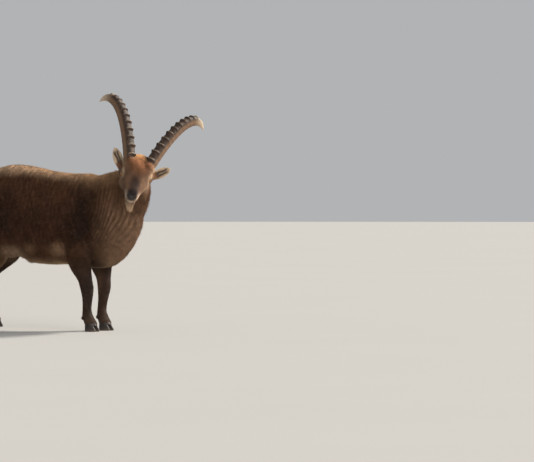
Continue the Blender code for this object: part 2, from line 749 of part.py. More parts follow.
# Rounded masses under the body's skin, on both sides: centre on the left, radii, and tilt in degrees.
# A shoulder, a haunch, the fold of a flank, and half of the scrotum.
BODY_MASSES = (
    ((0.020, 0.096, 0.655), (0.090, 0.050, 0.185), -28.0),
    ((-0.690, 0.078, 0.725), (0.150, 0.082, 0.180), 0.0),
    ((-0.600, 0.060, 0.500), (0.080, 0.075, 0.085), 0.0),
    ((-0.735, 0.017, 0.440), (0.028, 0.020, 0.044), 0.0),
)
SHEATH_PLACE = Vector((-0.480, 0.0, 0.410))
SHEATH_RADII = (0.070, 0.020, 0.024)


def add_masses(bm):
    """Shoulders, haunches, flanks, sheath and scrotum."""
    for (x, y, z), radii, tilt in BODY_MASSES:
        turn = Matrix.Rotation(math.radians(tilt), 3, "Y")
        for mirror in (-1, 1):
            add_ball(bm, Vector((x, y * mirror, z)), radii, turn)
    add_ball(bm, SHEATH_PLACE, SHEATH_RADII)


# Tail from root to tip: x, y, z, front, rear and side radius.
TAIL = (
    (-0.820, 0.0, 0.880, 0.030, 0.030, 0.036),
    (-0.872, 0.0, 0.872, 0.024, 0.026, 0.036),
    (-0.906, 0.0, 0.835, 0.020, 0.024, 0.034),
    (-0.920, 0.0, 0.785, 0.018, 0.022, 0.030),
    (-0.922, 0.0, 0.745, 0.012, 0.014, 0.020),
    (-0.922, 0.0, 0.722, 0.004, 0.004, 0.006),
)


def finish_mesh(bm, name, surface=None):
    """Turns what was built into a named object whose faces point out."""
    bmesh.ops.recalc_face_normals(bm, faces=bm.faces)
    mesh = bpy.data.meshes.new(name)
    bm.to_mesh(mesh)
    bm.free()
    return add_object(name, mesh, surface)


def as_cutter(thing):
    """Marks a helper that only shapes others."""
    thing.hide_render = True
    thing.display_type = "WIRE"
    return thing


def ramp(value, low, high):
    """0 up to low, 1 from high on, with a smooth rise between."""
    share = min(max((value - low) / (high - low), 0.0), 1.0)
    return share * share * (3 - 2 * share)


def head_cut():
    """Point and forward normal of the cut behind the cheeks and the ears."""
    normal = LEVEL_HEAD @ Vector((0, math.sin(HEAD_CUT_TILT), math.cos(HEAD_CUT_TILT)))
    return EYE_MIDDLE - normal * HEAD_CUT_BACK, normal


def softness(point, head_point, head_normal):
    """How far flesh is evened out: fully on the trunk and neck, not on the face, feet or tail."""
    ahead = (point - head_point).dot(head_normal)
    return ramp(point.z, 0.34, 0.50) * ramp(point.x, -0.90, -0.85) * (1 - ramp(ahead, -0.020, 0.040))


def fuse(thing, voxel, light_rounds, triangles):
    """One closed skin round overlapping shapes, evened out and thinned to a count of triangles."""
    remesh = thing.modifiers.new("fuse", "REMESH")
    remesh.mode = "VOXEL"
    remesh.voxel_size = voxel
    fused = evaluated_copy(thing)
    remove_object(thing)
    made = add_object("fused", fused)
    soft = made.vertex_groups.new(name="soft")
    cut = head_cut()
    for vertex in fused.vertices:
        soft.add((vertex.index,), softness(vertex.co, *cut), "REPLACE")
    broad = made.modifiers.new("broad", "SMOOTH")
    broad.factor = 1.0
    broad.iterations = round(4 * (SOFT_REACH / voxel) ** 2)
    broad.vertex_group = "soft"
    light = made.modifiers.new("light", "SMOOTH")
    light.factor = 1.0
    light.iterations = light_rounds
    thin = made.modifiers.new("thin", "DECIMATE")
    thin.ratio = triangles / (2 * len(fused.polygons))
    thin.use_collapse_triangulate = True
    mesh = evaluated_copy(made)
    remove_object(made)
    return mesh


def keep_largest(mesh):
    """Leaves only the closed surface that has most faces."""
    bm = bmesh.new()
    bm.from_mesh(mesh)
    unseen = set(bm.faces)
    groups = []
    while unseen:
        waiting = [unseen.pop()]
        group = []
        while waiting:
            face = waiting.pop()
            group.append(face)
            for edge in face.edges:
                for other in edge.link_faces:
                    if other in unseen:
                        unseen.remove(other)
                        waiting.append(other)
        groups.append(group)
    largest = max(groups, key=len)
    for group in groups:
        if group is not largest:
            bmesh.ops.delete(bm, geom=group, context="FACES")
    bm.to_mesh(mesh)
    bm.free()


def shaped(mesh, name, surface, steps):
    """A node made from a mesh by Boolean steps, each an operation and a cutter object or collection."""
    made = add_object(name, mesh.copy())
    for operation, tool in steps:
        cut = made.modifiers.new("cut", "BOOLEAN")
        cut.operation = operation
        cut.solver = "EXACT"
        if isinstance(tool, bpy.types.Collection):
            cut.operand_type = "COLLECTION"
            cut.collection = tool
        else:
            cut.object = tool
    result = evaluated_copy(made)
    remove_object(made)
    keep_largest(result)
    result.materials.clear()
    return add_object(name, result, surface)


def block(name, corners):
    """A cutter through eight corners: four below and four above, each going round."""
    bm = bmesh.new()
    verts = [bm.verts.new(Vector(corner)) for corner in corners]
    for quad in ((3, 2, 1, 0), (4, 5, 6, 7), (0, 1, 5, 4), (1, 2, 6, 5), (2, 3, 7, 6), (3, 0, 4, 7)):
        bm.faces.new([verts[k] for k in quad])
    return as_cutter(finish_mesh(bm, name))


SQUARE = ((-1, -1), (1, -1), (1, 1), (-1, 1))


def half_space(name, point, normal, size=3.0):
    """A large cutter that holds everything on the side of a plane that its normal points to."""
    turn = normal.to_track_quat("Z", "X").to_matrix()
    corners = [point + turn @ Vector((x * size, y * size, z)) for z in (0.0, size) for x, y in SQUARE]
    return block(name, corners)


def fore_cut(y):
    """Height of the cut that parts a fore leg from the chest."""
    return FORE_CUT_HEIGHT + FORE_CUT_SLOPE * (y - FORE_CUT_EDGE)


def hind_cut(x, y, start):
    """Height of the cut that parts a hind leg from the trunk."""
    outwards = HIND_CUT_SLOPE * (y - HIND_CUT_EDGE)
    return HIND_CUT_HEIGHT + outwards - HIND_CUT_BACK_SLOPE * (x - start)


def leg_space(foot_name, lift):
    """The space of one leg: from below the floor to a slanting cut, out from the animal's middle."""
    foot = FEET[foot_name]
    mirror = side_of(foot_name)
    in_front = "front" in foot_name
    near, far = FORE_LEG_REACH if in_front else HIND_LEG_REACH
    inner, outer = LEG_SPACE_SIDES
    start = HIND_CUT_START + 0.6 * (foot.x - HIND_STANCE)
    corners = []
    for upper in (False, True):
        for x, y in ((near, inner), (far, inner), (far, outer), (near, outer)):
            height = fore_cut(y) if in_front else hind_cut(x, y, start)
            corners.append((x, mirror * y, height + lift if upper else -0.1))
    return block(f"space_{foot_name}", corners)


def tail_space(lift):
    """The space of the tail, behind a slanting cut at its root."""
    root = TAIL_ROOT + lift
    corners = []
    for x, z in ((root - 0.034, 0.69), (root, 0.93)):
        corners += [(-1.05, -0.06, z), (x, -0.06, z), (x, 0.06, z), (-1.05, 0.06, z)]
    return block("space_tail", corners)


def hoof_outline(centre, half_length, half_width, mirror):
    """The outline of one claw: pointed ahead, fuller on its outer side."""
    outline = []
    for k in range(12):
        angle = 2 * math.pi * k / 12
        ahead, out = math.cos(angle), math.sin(angle)
        pointed = 1 - 0.30 * max(ahead, 0) ** 2
        reach = half_length * ahead * (1.0 if ahead > 0 else 0.86)
        across = half_width * math.copysign(abs(out) ** 0.8, out) * pointed * (0.80 if out < 0 else 1.0)
        outline.append(centre + Vector((reach, mirror * across, 0)))
    return outline


# One claw from sole to coronet: height, middle ahead of the foot, half length, offset, half width.
CLAW = (
    (0.0, 0.026, 0.040, 0.0175, 0.0150),
    (0.006, 0.027, 0.041, 0.0178, 0.0158),
    (0.022, 0.022, 0.036, 0.0172, 0.0150),
    (0.036, 0.018, 0.032, 0.0165, 0.0143),
    (HOOF_HEIGHT - CUT, 0.016, 0.029, 0.0160, 0.0135),
)


def make_hoof(foot_name, outer, surface):
    """One of a foot's two claws: a wedge with a flat sole."""
    foot = FEET[foot_name]
    mirror = side_of(foot_name) * (1 if outer else -1)
    size = 1.0 if "front" in foot_name else 0.94
    rings = []
    for height, ahead, half_length, offset, half_width in CLAW:
        centre = foot + Vector((ahead * size, mirror * offset * size, height))
        rings.append(hoof_outline(centre, half_length * size, half_width * size, mirror))
    bm = bmesh.new()
    add_loft(bm, rings)
    return finish_mesh(bm, f"hoof_{foot_name}_{'outer' if outer else 'inner'}", surface)


def body_mesh():
    """The flesh of trunk, neck, legs and tail as one thinned skin."""
    bm = bmesh.new()
    add_trunk(bm)
    add_neck(bm)
    add_tube(bm, THROAT, 30, sides=28)
    add_masses(bm)
    for foot_name in FEET:
        add_leg(bm, foot_name)
    add_tube(bm, TAIL, 16)
    add_head_tube(bm, SKULL, 30, SKULL_POWER, 0.03)
    add_head_tube(bm, JAW, 20, 2.2, 0.0)
    return fuse(finish_mesh(bm, "body"), BODY_VOXEL, BODY_LIGHT_ROUNDS, BODY_TRIANGLES)


def head_mesh():
    """The flesh of head and upper neck as one finer thinned skin."""
    bm = bmesh.new()
    add_neck(bm)
    add_tube(bm, THROAT, 30, sides=28)
    add_head(bm)
    return fuse(finish_mesh(bm, "head"), HEAD_VOXEL, HEAD_LIGHT_ROUNDS, HEAD_TRIANGLES)


def beard_collection():
    """All locks of the beard, as a collection to be joined to the head."""
    beard = bpy.data.collections.new("beard")
    bpy.context.scene.collection.children.link(beard)
    for *place, length, half_width in BEARD:
        lock = as_cutter(make_lock(place, length, half_width))
        bpy.context.scene.collection.objects.unlink(lock)
        beard.objects.link(lock)
    return beard


def make_head(surface):
    """The head: face, lids, lips, nostrils and beard, with seats for the horns, ears and eyes."""
    point, normal = head_cut()
    steps = [("INTERSECT", half_space("ahead_of_head_cut", point, normal))]
    hollows = []
    for mirror in (-1, 1):
        centre, look, _, _ = eye_frame(mirror)
        turn = look.to_track_quat("Z", "X").to_matrix()
        lid = make_ball(f"lid_{mirror}", centre, EYE_RADIUS + LID_THICKNESS, turn, 24, 16)
        steps.append(("UNION", as_cutter(lid)))
        socket = make_ball(f"socket_{mirror}", centre, EYE_RADIUS + 2 * CUT, turn)
        hollows += [as_cutter(socket), eye_opening(mirror), nostril(mirror)]
        hollows += [horn_seat(mirror), ear_seat(mirror)]
    steps.append(("UNION", beard_collection()))
    steps += [("DIFFERENCE", hollow) for hollow in (*hollows, mouth_slit())]
    return shaped(head_mesh(), "head", surface, steps)


def build():
    """Makes the whole animal."""
    body = body_mesh()
    point, normal = head_cut()
    ahead = half_space("ahead_of_neck_cut", NECK_CUT_POINT, NECK_CUT_NORMAL)
    behind = half_space("behind_neck_cut", NECK_CUT_POINT - NECK_CUT_NORMAL * CUT, -NECK_CUT_NORMAL)
    behind_head = half_space("behind_head_cut", point - normal * CUT, -normal)
    above_hooves = half_space("above_hooves", Vector((0, 0, HOOF_HEIGHT)), Vector((0, 0, 1)))

    steps = [("INTERSECT", behind), ("DIFFERENCE", tail_space(CUT))]
    steps += [("DIFFERENCE", leg_space(foot_name, CUT)) for foot_name in FEET]
    shaped(body, "torso", material("torso", FLANK_BROWN, COAT_ROUGHNESS), steps)
    steps = [("INTERSECT", ahead), ("INTERSECT", behind_head)]
    shaped(body, "neck", material("neck", NECK_BROWN, COAT_ROUGHNESS), steps)
    shaped(body, "tail", material("tail", LEG_BROWN, COAT_ROUGHNESS), [("INTERSECT", tail_space(0.0))])
    for foot_name in FEET:
        steps = [("INTERSECT", leg_space(foot_name, 0.0)), ("INTERSECT", above_hooves)]
        shaped(body, f"leg_{foot_name}", material(f"leg_{foot_name}", LEG_BROWN, COAT_ROUGHNESS), steps)
        for outer in (True, False):
            name = f"hoof_{foot_name}_{'outer' if outer else 'inner'}"
            make_hoof(foot_name, outer, material(name, HOOF_GREY, HOOF_ROUGHNESS))
    make_head(material("head", FACE_BROWN, COAT_ROUGHNESS))
    for mirror, hand in ((-1, "right"), (1, "left")):
        centre, look, _, _ = eye_frame(mirror)
        turn = look.to_track_quat("Z", "X").to_matrix()
        eye = make_ball(f"eye_{hand}", centre, EYE_RADIUS, turn)
        eye.data.materials.append(material(f"eye_{hand}", AMBER, EYE_ROUGHNESS))
        make_horn(mirror, material(f"horn_{hand}", HORN_BROWN, HORN_ROUGHNESS))
        make_ear(mirror, material(f"ear_{hand}", EAR_BROWN, COAT_ROUGHNESS))


def settle():
    """Takes the helpers away and moves the animal so that the origin is the middle of its footprint."""
    for thing in list(bpy.data.objects):
        if thing.hide_render:
            remove_object(thing)
        else:
            thing.data.transform(Matrix.Translation(-FOOTPRINT_MIDDLE))
    for group in list(bpy.data.collections):
        bpy.data.collections.remove(group)


for leftover in list(bpy.data.objects):
    bpy.data.objects.remove(leftover)
build()
settle()
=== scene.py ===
"""The looks of a life-size alpine ibex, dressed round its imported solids.

Everything is laid out as the solids are: metres, +Z up, the animal heading along +X with its left at
+Y, first with X = Y = 0 midway between the front feet and then moved so that the origin is the middle
of the footprint.
"""

import logging
import math
from dataclasses import dataclass, field
from enum import Enum
from typing import Any, Callable, Sequence

import bmesh
import bpy
import numpy as np
from mathutils import Matrix, Vector


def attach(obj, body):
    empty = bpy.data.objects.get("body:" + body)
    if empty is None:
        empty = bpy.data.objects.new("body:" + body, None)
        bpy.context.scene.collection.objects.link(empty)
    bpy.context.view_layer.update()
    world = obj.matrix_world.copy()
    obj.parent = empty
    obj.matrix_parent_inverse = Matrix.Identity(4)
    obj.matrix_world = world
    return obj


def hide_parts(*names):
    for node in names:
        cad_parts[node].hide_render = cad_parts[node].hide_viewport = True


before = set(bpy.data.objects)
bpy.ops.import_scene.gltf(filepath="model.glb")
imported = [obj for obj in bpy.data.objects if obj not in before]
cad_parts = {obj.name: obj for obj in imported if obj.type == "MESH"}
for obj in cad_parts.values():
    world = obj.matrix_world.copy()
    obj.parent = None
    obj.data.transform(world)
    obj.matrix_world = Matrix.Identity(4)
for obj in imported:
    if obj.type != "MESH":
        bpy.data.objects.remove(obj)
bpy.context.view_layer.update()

log = logging.getLogger("ibex")

FOOTPRINT_MIDDLE = Vector((-0.2451, 0.1038, 0.0))
UP = Vector((0.0, 0.0, 1.0))
AHEAD = Vector((1.0, 0.0, 0.0))
SIDES = {-1: "right", 1: "left"}
Row = tuple[float, ...]


# Small sums.


def ramp(value: Any, low: float, high: float) -> Any:
    """0 up to low and 1 from high on, with a smooth rise between.

    Args:
        value: A number or an array of numbers.
        low: Where the rise starts.
        high: Where it ends.

    Returns:
        The share, shaped like value.
    """
    share = np.clip((value - low) / (high - low), 0.0, 1.0)
    return share * share * (3 - 2 * share)


def tone(red: float, green: float, blue: float, lift: float = 1.0) -> np.ndarray:
    """A colour as light, from the numbers from 0 to 255 that a painter gives.

    Args:
        red: Red part.
        green: Green part.
        blue: Blue part.
        lift: What the light is multiplied by.

    Returns:
        Three numbers of light.
    """
    shade = np.array((red, green, blue)) / 255
    return lift * np.where(shade <= 0.04045, shade / 12.92, ((shade + 0.055) / 1.055) ** 2.4)


def ripple(points: np.ndarray, size: float, seed: int) -> np.ndarray:
    """Smooth, cloudy values from -1 to 1 over space.

    Args:
        points: Places, one a row.
        size: How wide one cloud is.
        seed: Which pattern.

    Returns:
        One value for each place.
    """
    draw = np.random.default_rng(seed)
    waves = draw.normal(size=(10, 3))
    waves *= (draw.uniform(0.6, 1.5, 10) / np.linalg.norm(waves, axis=1))[:, None]
    turns = draw.uniform(0, 2 * math.pi, 10)
    found = np.zeros(len(points))
    for wave, turn in zip(waves, turns):
        found += np.sin(points @ wave * (math.pi / size) + turn)
    return np.clip(found / 3.2, -1.0, 1.0)


def smooth_rows(rows: Sequence[Row], count: int) -> list[np.ndarray]:
    """Rows of station values, read off at even steps along a smooth curve through them.

    Args:
        rows: Station values, whose first three place the station.
        count: How many rows to read off.

    Returns:
        The rows read off.
    """
    table = np.array(rows, float)
    gaps = np.linalg.norm(np.diff(table[:, :3], axis=0), axis=1)
    along = np.concatenate([[0.0], np.cumsum(gaps)])
    slopes = np.gradient(table, along, axis=0)
    found = []
    for place in np.linspace(0.0, along[-1], count):
        i = min(int(np.searchsorted(along, place, side="right")) - 1, len(rows) - 2)
        span = along[i + 1] - along[i]
        t = (place - along[i]) / span
        near = (2 * t**3 - 3 * t**2 + 1) * table[i] + (t**3 - 2 * t**2 + t) * span * slopes[i]
        far = (3 * t**2 - 2 * t**3) * table[i + 1] + (t**3 - t**2) * span * slopes[i + 1]
        found.append(near + far)
    return found


def corners(mesh: bpy.types.Mesh) -> np.ndarray:
    """The places of a mesh's vertices, one a row."""
    found = np.empty(len(mesh.vertices) * 3, np.float32)
    mesh.vertices.foreach_get("co", found)
    return found.reshape(-1, 3).astype(float)


def store(mesh: bpy.types.Mesh, name: str, kind: str, values: np.ndarray) -> None:
    """Writes one value a vertex as a named attribute.

    Args:
        mesh: The mesh that gets it.
        name: Its name.
        kind: FLOAT, FLOAT_VECTOR or FLOAT_COLOR.
        values: The values, one a vertex.
    """
    layer = mesh.attributes.new(name, kind, "POINT")
    slot = {"FLOAT": "value", "FLOAT_VECTOR": "vector", "FLOAT_COLOR": "color"}[kind]
    if kind == "FLOAT_COLOR":
        values = np.column_stack([values, np.ones(len(values))])
    layer.data.foreach_set(slot, np.ascontiguousarray(values, np.float32).ravel())


def link(name: str, mesh: bpy.types.Mesh) -> bpy.types.Object:
    """Puts a mesh in the scene as a named object."""
    made = bpy.data.objects.new(name, mesh)
    bpy.context.scene.collection.objects.link(made)
    return made


def settled(mesh: bpy.types.Mesh) -> bpy.types.Mesh:
    """Moves a mesh so that the origin is the middle of the footprint."""
    mesh.transform(Matrix.Translation(-FOOTPRINT_MIDDLE))
    return mesh


def applied(thing: bpy.types.Object) -> bpy.types.Mesh:
    """A plain mesh of an object as its modifiers leave it, with the object taken away."""
    bpy.context.view_layer.update()
    graph = bpy.context.evaluated_depsgraph_get()
    mesh = bpy.data.meshes.new_from_object(thing.evaluated_get(graph))
    bpy.data.objects.remove(thing)
    return mesh


def dress(
    piece: bpy.types.Object, finish: bpy.types.Material, slot: str, nodes: Sequence[str] = ()
) -> bpy.types.Object:
    """Gives a piece its finish and says what it rides on and what it replaces.

    Args:
        piece: The finished piece.
        finish: Its material.
        slot: Not used.
        nodes: The solids that it stands for.

    Returns:
        The piece.
    """
    if not piece.data.materials:
        piece.data.materials.append(finish)
    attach(piece, "root")
    if nodes:
        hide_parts(*nodes)
    log.info("%s: %d triangles", piece.name, sum(len(face.vertices) - 2 for face in piece.data.polygons))
    return piece


# Shapes.


class Clay:
    """Closed shapes that are pressed together into one mesh."""

    def __init__(self) -> None:
        """Starts with nothing."""
        self.bm = bmesh.new()

    def loft(self, rings: Sequence[Sequence[Vector]]) -> None:
        """Skins a row of outlines into a closed tube.

        Args:
            rings: The outlines, all with the same number of points.
        """
        loops = [[self.bm.verts.new(point) for point in outline] for outline in rings]
        count = len(loops[0])
        for low, high in zip(loops, loops[1:]):
            for k in range(count):
                after = (k + 1) % count
                self.bm.faces.new((low[k], low[after], high[after], high[k]))
        for loop, turn in ((loops[0], -1), (loops[-1], 1)):
            middle = self.bm.verts.new(sum((v.co for v in loop), Vector()) / count)
            for k in range(count):
                pair = (loop[k], loop[(k + 1) % count])
                self.bm.faces.new((*pair[::turn], middle))

    def ball(
        self, centre: Vector, radii: Sequence[float], turn: Matrix | None = None, segments: int = 32
    ) -> None:
        """Adds an ellipsoid.

        Args:
            centre: Its middle.
            radii: Its three radii.
            turn: The directions of the radii.
            segments: How many faces go round it.
        """
        turn = turn or Matrix.Identity(3)
        side, up, pole = (turn.col[k].copy() for k in range(3))
        rows = segments // 2
        rings = []
        for i in range(1, rows):
            angle = math.pi * i / rows
            wide, high = radii[0] * math.sin(angle), radii[1] * math.sin(angle)
            middle = centre - pole * radii[2] * math.cos(angle)
            rings.append(ring(middle, side, up, wide, high, high, count=segments))
        self.loft(rings)

    def tube(self, rows: Sequence[Row], count: int, sides: int = 28) -> None:
        """Adds a limb.

        Args:
            rows: Stations of x, y, z, front radius, rear radius and side radius.
            count: How many outlines it is skinned from.
            sides: How many points are in each.
        """
        path = smooth_rows(rows, count)
        rings = []
        for i, row in enumerate(path):
            reach = Vector(path[min(i + 1, count - 1)][:3]) - Vector(path[max(i - 1, 0)][:3])
            along = reach.normalized()
            side = along.cross(AHEAD).normalized()
            front = side.cross(along).normalized()
            rings.append(ring(Vector(row[:3]), side, front, row[5], row[3], row[4], count=sides))
        self.loft(rings)

    def mesh(self, name: str) -> bpy.types.Mesh:
        """The finished mesh, its faces pointing out."""
        bmesh.ops.recalc_face_normals(self.bm, faces=self.bm.faces)
        made = bpy.data.meshes.new(name)
        self.bm.to_mesh(made)
        self.bm.free()
        return made


def ring(
    centre: Vector,
    side: Vector,
    up: Vector,
    half_width: float,
    rise: float,
    drop: float,
    power: float = 2.0,
    egg: float = 0.0,
    count: int = 28,
) -> list[Vector]:
    """One closed outline.

    Args:
        centre: Its middle.
        side: Direction of its width.
        up: Direction of its height.
        half_width: Reach to each side.
        rise: Reach above the centre.
        drop: Reach below it.
        power: 2 is an oval, and more is squarer.
        egg: How much wider it is above than below.
        count: How many points it has.

    Returns:
        The points, in turn.
    """
    points = []
    for k in range(count):
        angle = 2 * math.pi * k / count
        c, s = math.cos(angle), math.sin(angle)
        across = half_width * math.copysign(abs(c) ** (2 / power), c) * (1 + egg * s)
        upward = (rise if s > 0 else drop) * math.copysign(abs(s) ** (2 / power), s)
        points.append(centre + side * across + up * upward)
    return points


@dataclass(frozen=True)
class HeadPlace:
    """Where the head is, and how it is turned."""

    middle: Vector = Vector((0.3683, -0.0928, 0.886))
    yaw: float = math.radians(-46.7)
    roll: float = math.radians(15.2)
    pitch: float = math.radians(41.5)
    cut_tilt: float = math.radians(14.0)
    cut_back: float = 0.060

    def axes(self) -> tuple[Matrix, Matrix]:
        """The head's left, up and forward directions, level and then along the face."""
        forward = Vector((math.cos(self.yaw), math.sin(self.yaw), 0.0))
        left = Vector((-forward.y, forward.x, 0.0))
        rolled_up = math.cos(self.roll) * UP + math.sin(self.roll) * left
        rolled_left = math.cos(self.roll) * left - math.sin(self.roll) * UP
        face = math.cos(self.pitch) * forward - math.sin(self.pitch) * rolled_up
        dorsal = math.cos(self.pitch) * rolled_up + math.sin(self.pitch) * forward
        level = Matrix((rolled_left, rolled_up, forward)).transposed()
        pitched = Matrix((rolled_left, dorsal, face)).transposed()
        return level, pitched


HEAD_PLACE = HeadPlace()
LEVEL_HEAD, HEAD = HEAD_PLACE.axes()


def on_head(left: float, dorsal: float, face: float) -> Vector:
    """A point by its distances left, dorsal and along the face from between the eyes."""
    return HEAD_PLACE.middle + HEAD @ Vector((left, dorsal, face))


def in_head(points: np.ndarray) -> np.ndarray:
    """Places as distances left, dorsal and along the face from between the eyes."""
    return (points - np.array(HEAD_PLACE.middle)) @ np.array(HEAD)


def ahead_of_neck(points: np.ndarray) -> np.ndarray:
    """How far places are ahead of the line behind the cheeks and ears."""
    tilt = HEAD_PLACE.cut_tilt
    normal = LEVEL_HEAD @ Vector((0, math.sin(tilt), math.cos(tilt)))
    start = HEAD_PLACE.middle - normal * HEAD_PLACE.cut_back
    return (points - np.array(start)) @ np.array(normal)


# Flesh.


@dataclass
class Trunk:
    """The barrel of the body, the neck, the throat and the muscles on them.

    The barrel's rows are x, y, widest level, half width, rise to the back and drop to the belly; the
    neck's are the same along its own bend; the throat's are x, y, z, front, rear and side radius.
    """

    barrel: Sequence[Row] = (
        (-0.885, 0.0, 0.745, 0.030, 0.030, 0.040),
        (-0.870, 0.0, 0.740, 0.075, 0.085, 0.090),
        (-0.830, 0.0, 0.720, 0.115, 0.165, 0.150),
        (-0.760, 0.0, 0.690, 0.142, 0.245, 0.195),
        (-0.660, 0.0, 0.665, 0.155, 0.295, 0.215),
        (-0.540, 0.0, 0.635, 0.160, 0.322, 0.222),
        (-0.430, 0.0, 0.610, 0.168, 0.331, 0.225),
        (-0.320, 0.0, 0.600, 0.173, 0.322, 0.220),
        (-0.210, 0.0, 0.605, 0.170, 0.306, 0.222),
        (-0.110, 0.0, 0.610, 0.160, 0.298, 0.234),
        (-0.030, 0.0, 0.615, 0.148, 0.290, 0.250),
        (0.050, 0.0, 0.610, 0.138, 0.270, 0.246),
        (0.120, 0.0, 0.600, 0.125, 0.230, 0.220),
        (0.190, 0.0, 0.600, 0.105, 0.160, 0.170),
        (0.245, 0.0, 0.605, 0.075, 0.090, 0.105),
        (0.268, 0.0, 0.605, 0.035, 0.040, 0.045),
    )
    neck: Sequence[Row] = (
        (-0.060, 0.000, 0.665, 0.120, 0.215, 0.220),
        (0.070, 0.004, 0.715, 0.122, 0.190, 0.205),
        (0.170, 0.010, 0.762, 0.116, 0.168, 0.178),
        (0.245, 0.004, 0.808, 0.105, 0.145, 0.150),
        (0.300, -0.028, 0.852, 0.093, 0.118, 0.118),
        (0.335, -0.070, 0.878, 0.078, 0.088, 0.088),
    )
    throat: Sequence[Row] = (
        (0.262, -0.020, 0.862, 0.070, 0.100, 0.090),
        (0.222, 0.000, 0.790, 0.114, 0.120, 0.110),
        (0.187, 0.005, 0.720, 0.132, 0.140, 0.128),
        (0.164, 0.000, 0.650, 0.143, 0.140, 0.134),
        (0.141, 0.000, 0.585, 0.142, 0.140, 0.122),
        (0.104, 0.000, 0.500, 0.119, 0.120, 0.099),
        (0.062, 0.000, 0.435, 0.084, 0.090, 0.076),
        (0.045, 0.000, 0.400, 0.045, 0.050, 0.050),
    )
    tail: Sequence[Row] = (
        (-0.820, 0.0, 0.880, 0.030, 0.030, 0.036),
        (-0.872, 0.0, 0.872, 0.024, 0.026, 0.036),
        (-0.906, 0.0, 0.835, 0.020, 0.024, 0.034),
        (-0.920, 0.0, 0.785, 0.018, 0.022, 0.030),
        (-0.922, 0.0, 0.745, 0.012, 0.014, 0.020),
        (-0.922, 0.0, 0.722, 0.004, 0.004, 0.006),
    )
    shoulder_slope: float = math.radians(-28.0)

    def model(self, clay: Clay) -> None:
        """Adds them to the clay."""
        side = Vector((0, 1, 0))
        rings = [
            ring(Vector(row[:3]), side, UP, row[3], row[4], row[5], 2.25, -0.10, 48)
            for row in smooth_rows(self.barrel, 64)
        ]
        clay.loft(rings)
        rows = smooth_rows(self.neck, 32)
        rings = []
        for i, row in enumerate(rows):
            reach = Vector(rows[min(i + 1, 31)][:3]) - Vector(rows[max(i - 1, 0)][:3])
            along = reach.normalized()
            across = UP.cross(along).normalized()
            above = along.cross(across).normalized()
            rings.append(ring(Vector(row[:3]), across, above, row[3], row[4], row[5], 2.15, -0.05, 44))
        clay.loft(rings)
        clay.tube(self.throat, 40, 40)
        clay.tube(self.tail, 24)
        slope = Matrix.Rotation(self.shoulder_slope, 3, "Y")
        for mirror in SIDES:
            clay.ball(Vector((0.020, 0.096 * mirror, 0.655)), (0.090, 0.050, 0.185), slope)
            clay.ball(Vector((-0.690, 0.078 * mirror, 0.725)), (0.150, 0.082, 0.180))
            clay.ball(Vector((-0.600, 0.060 * mirror, 0.500)), (0.080, 0.075, 0.085))
            clay.ball(Vector((-0.735, 0.017 * mirror, 0.440)), (0.028, 0.020, 0.044))
        clay.ball(Vector((-0.480, 0.0, 0.410)), (0.070, 0.020, 0.024))


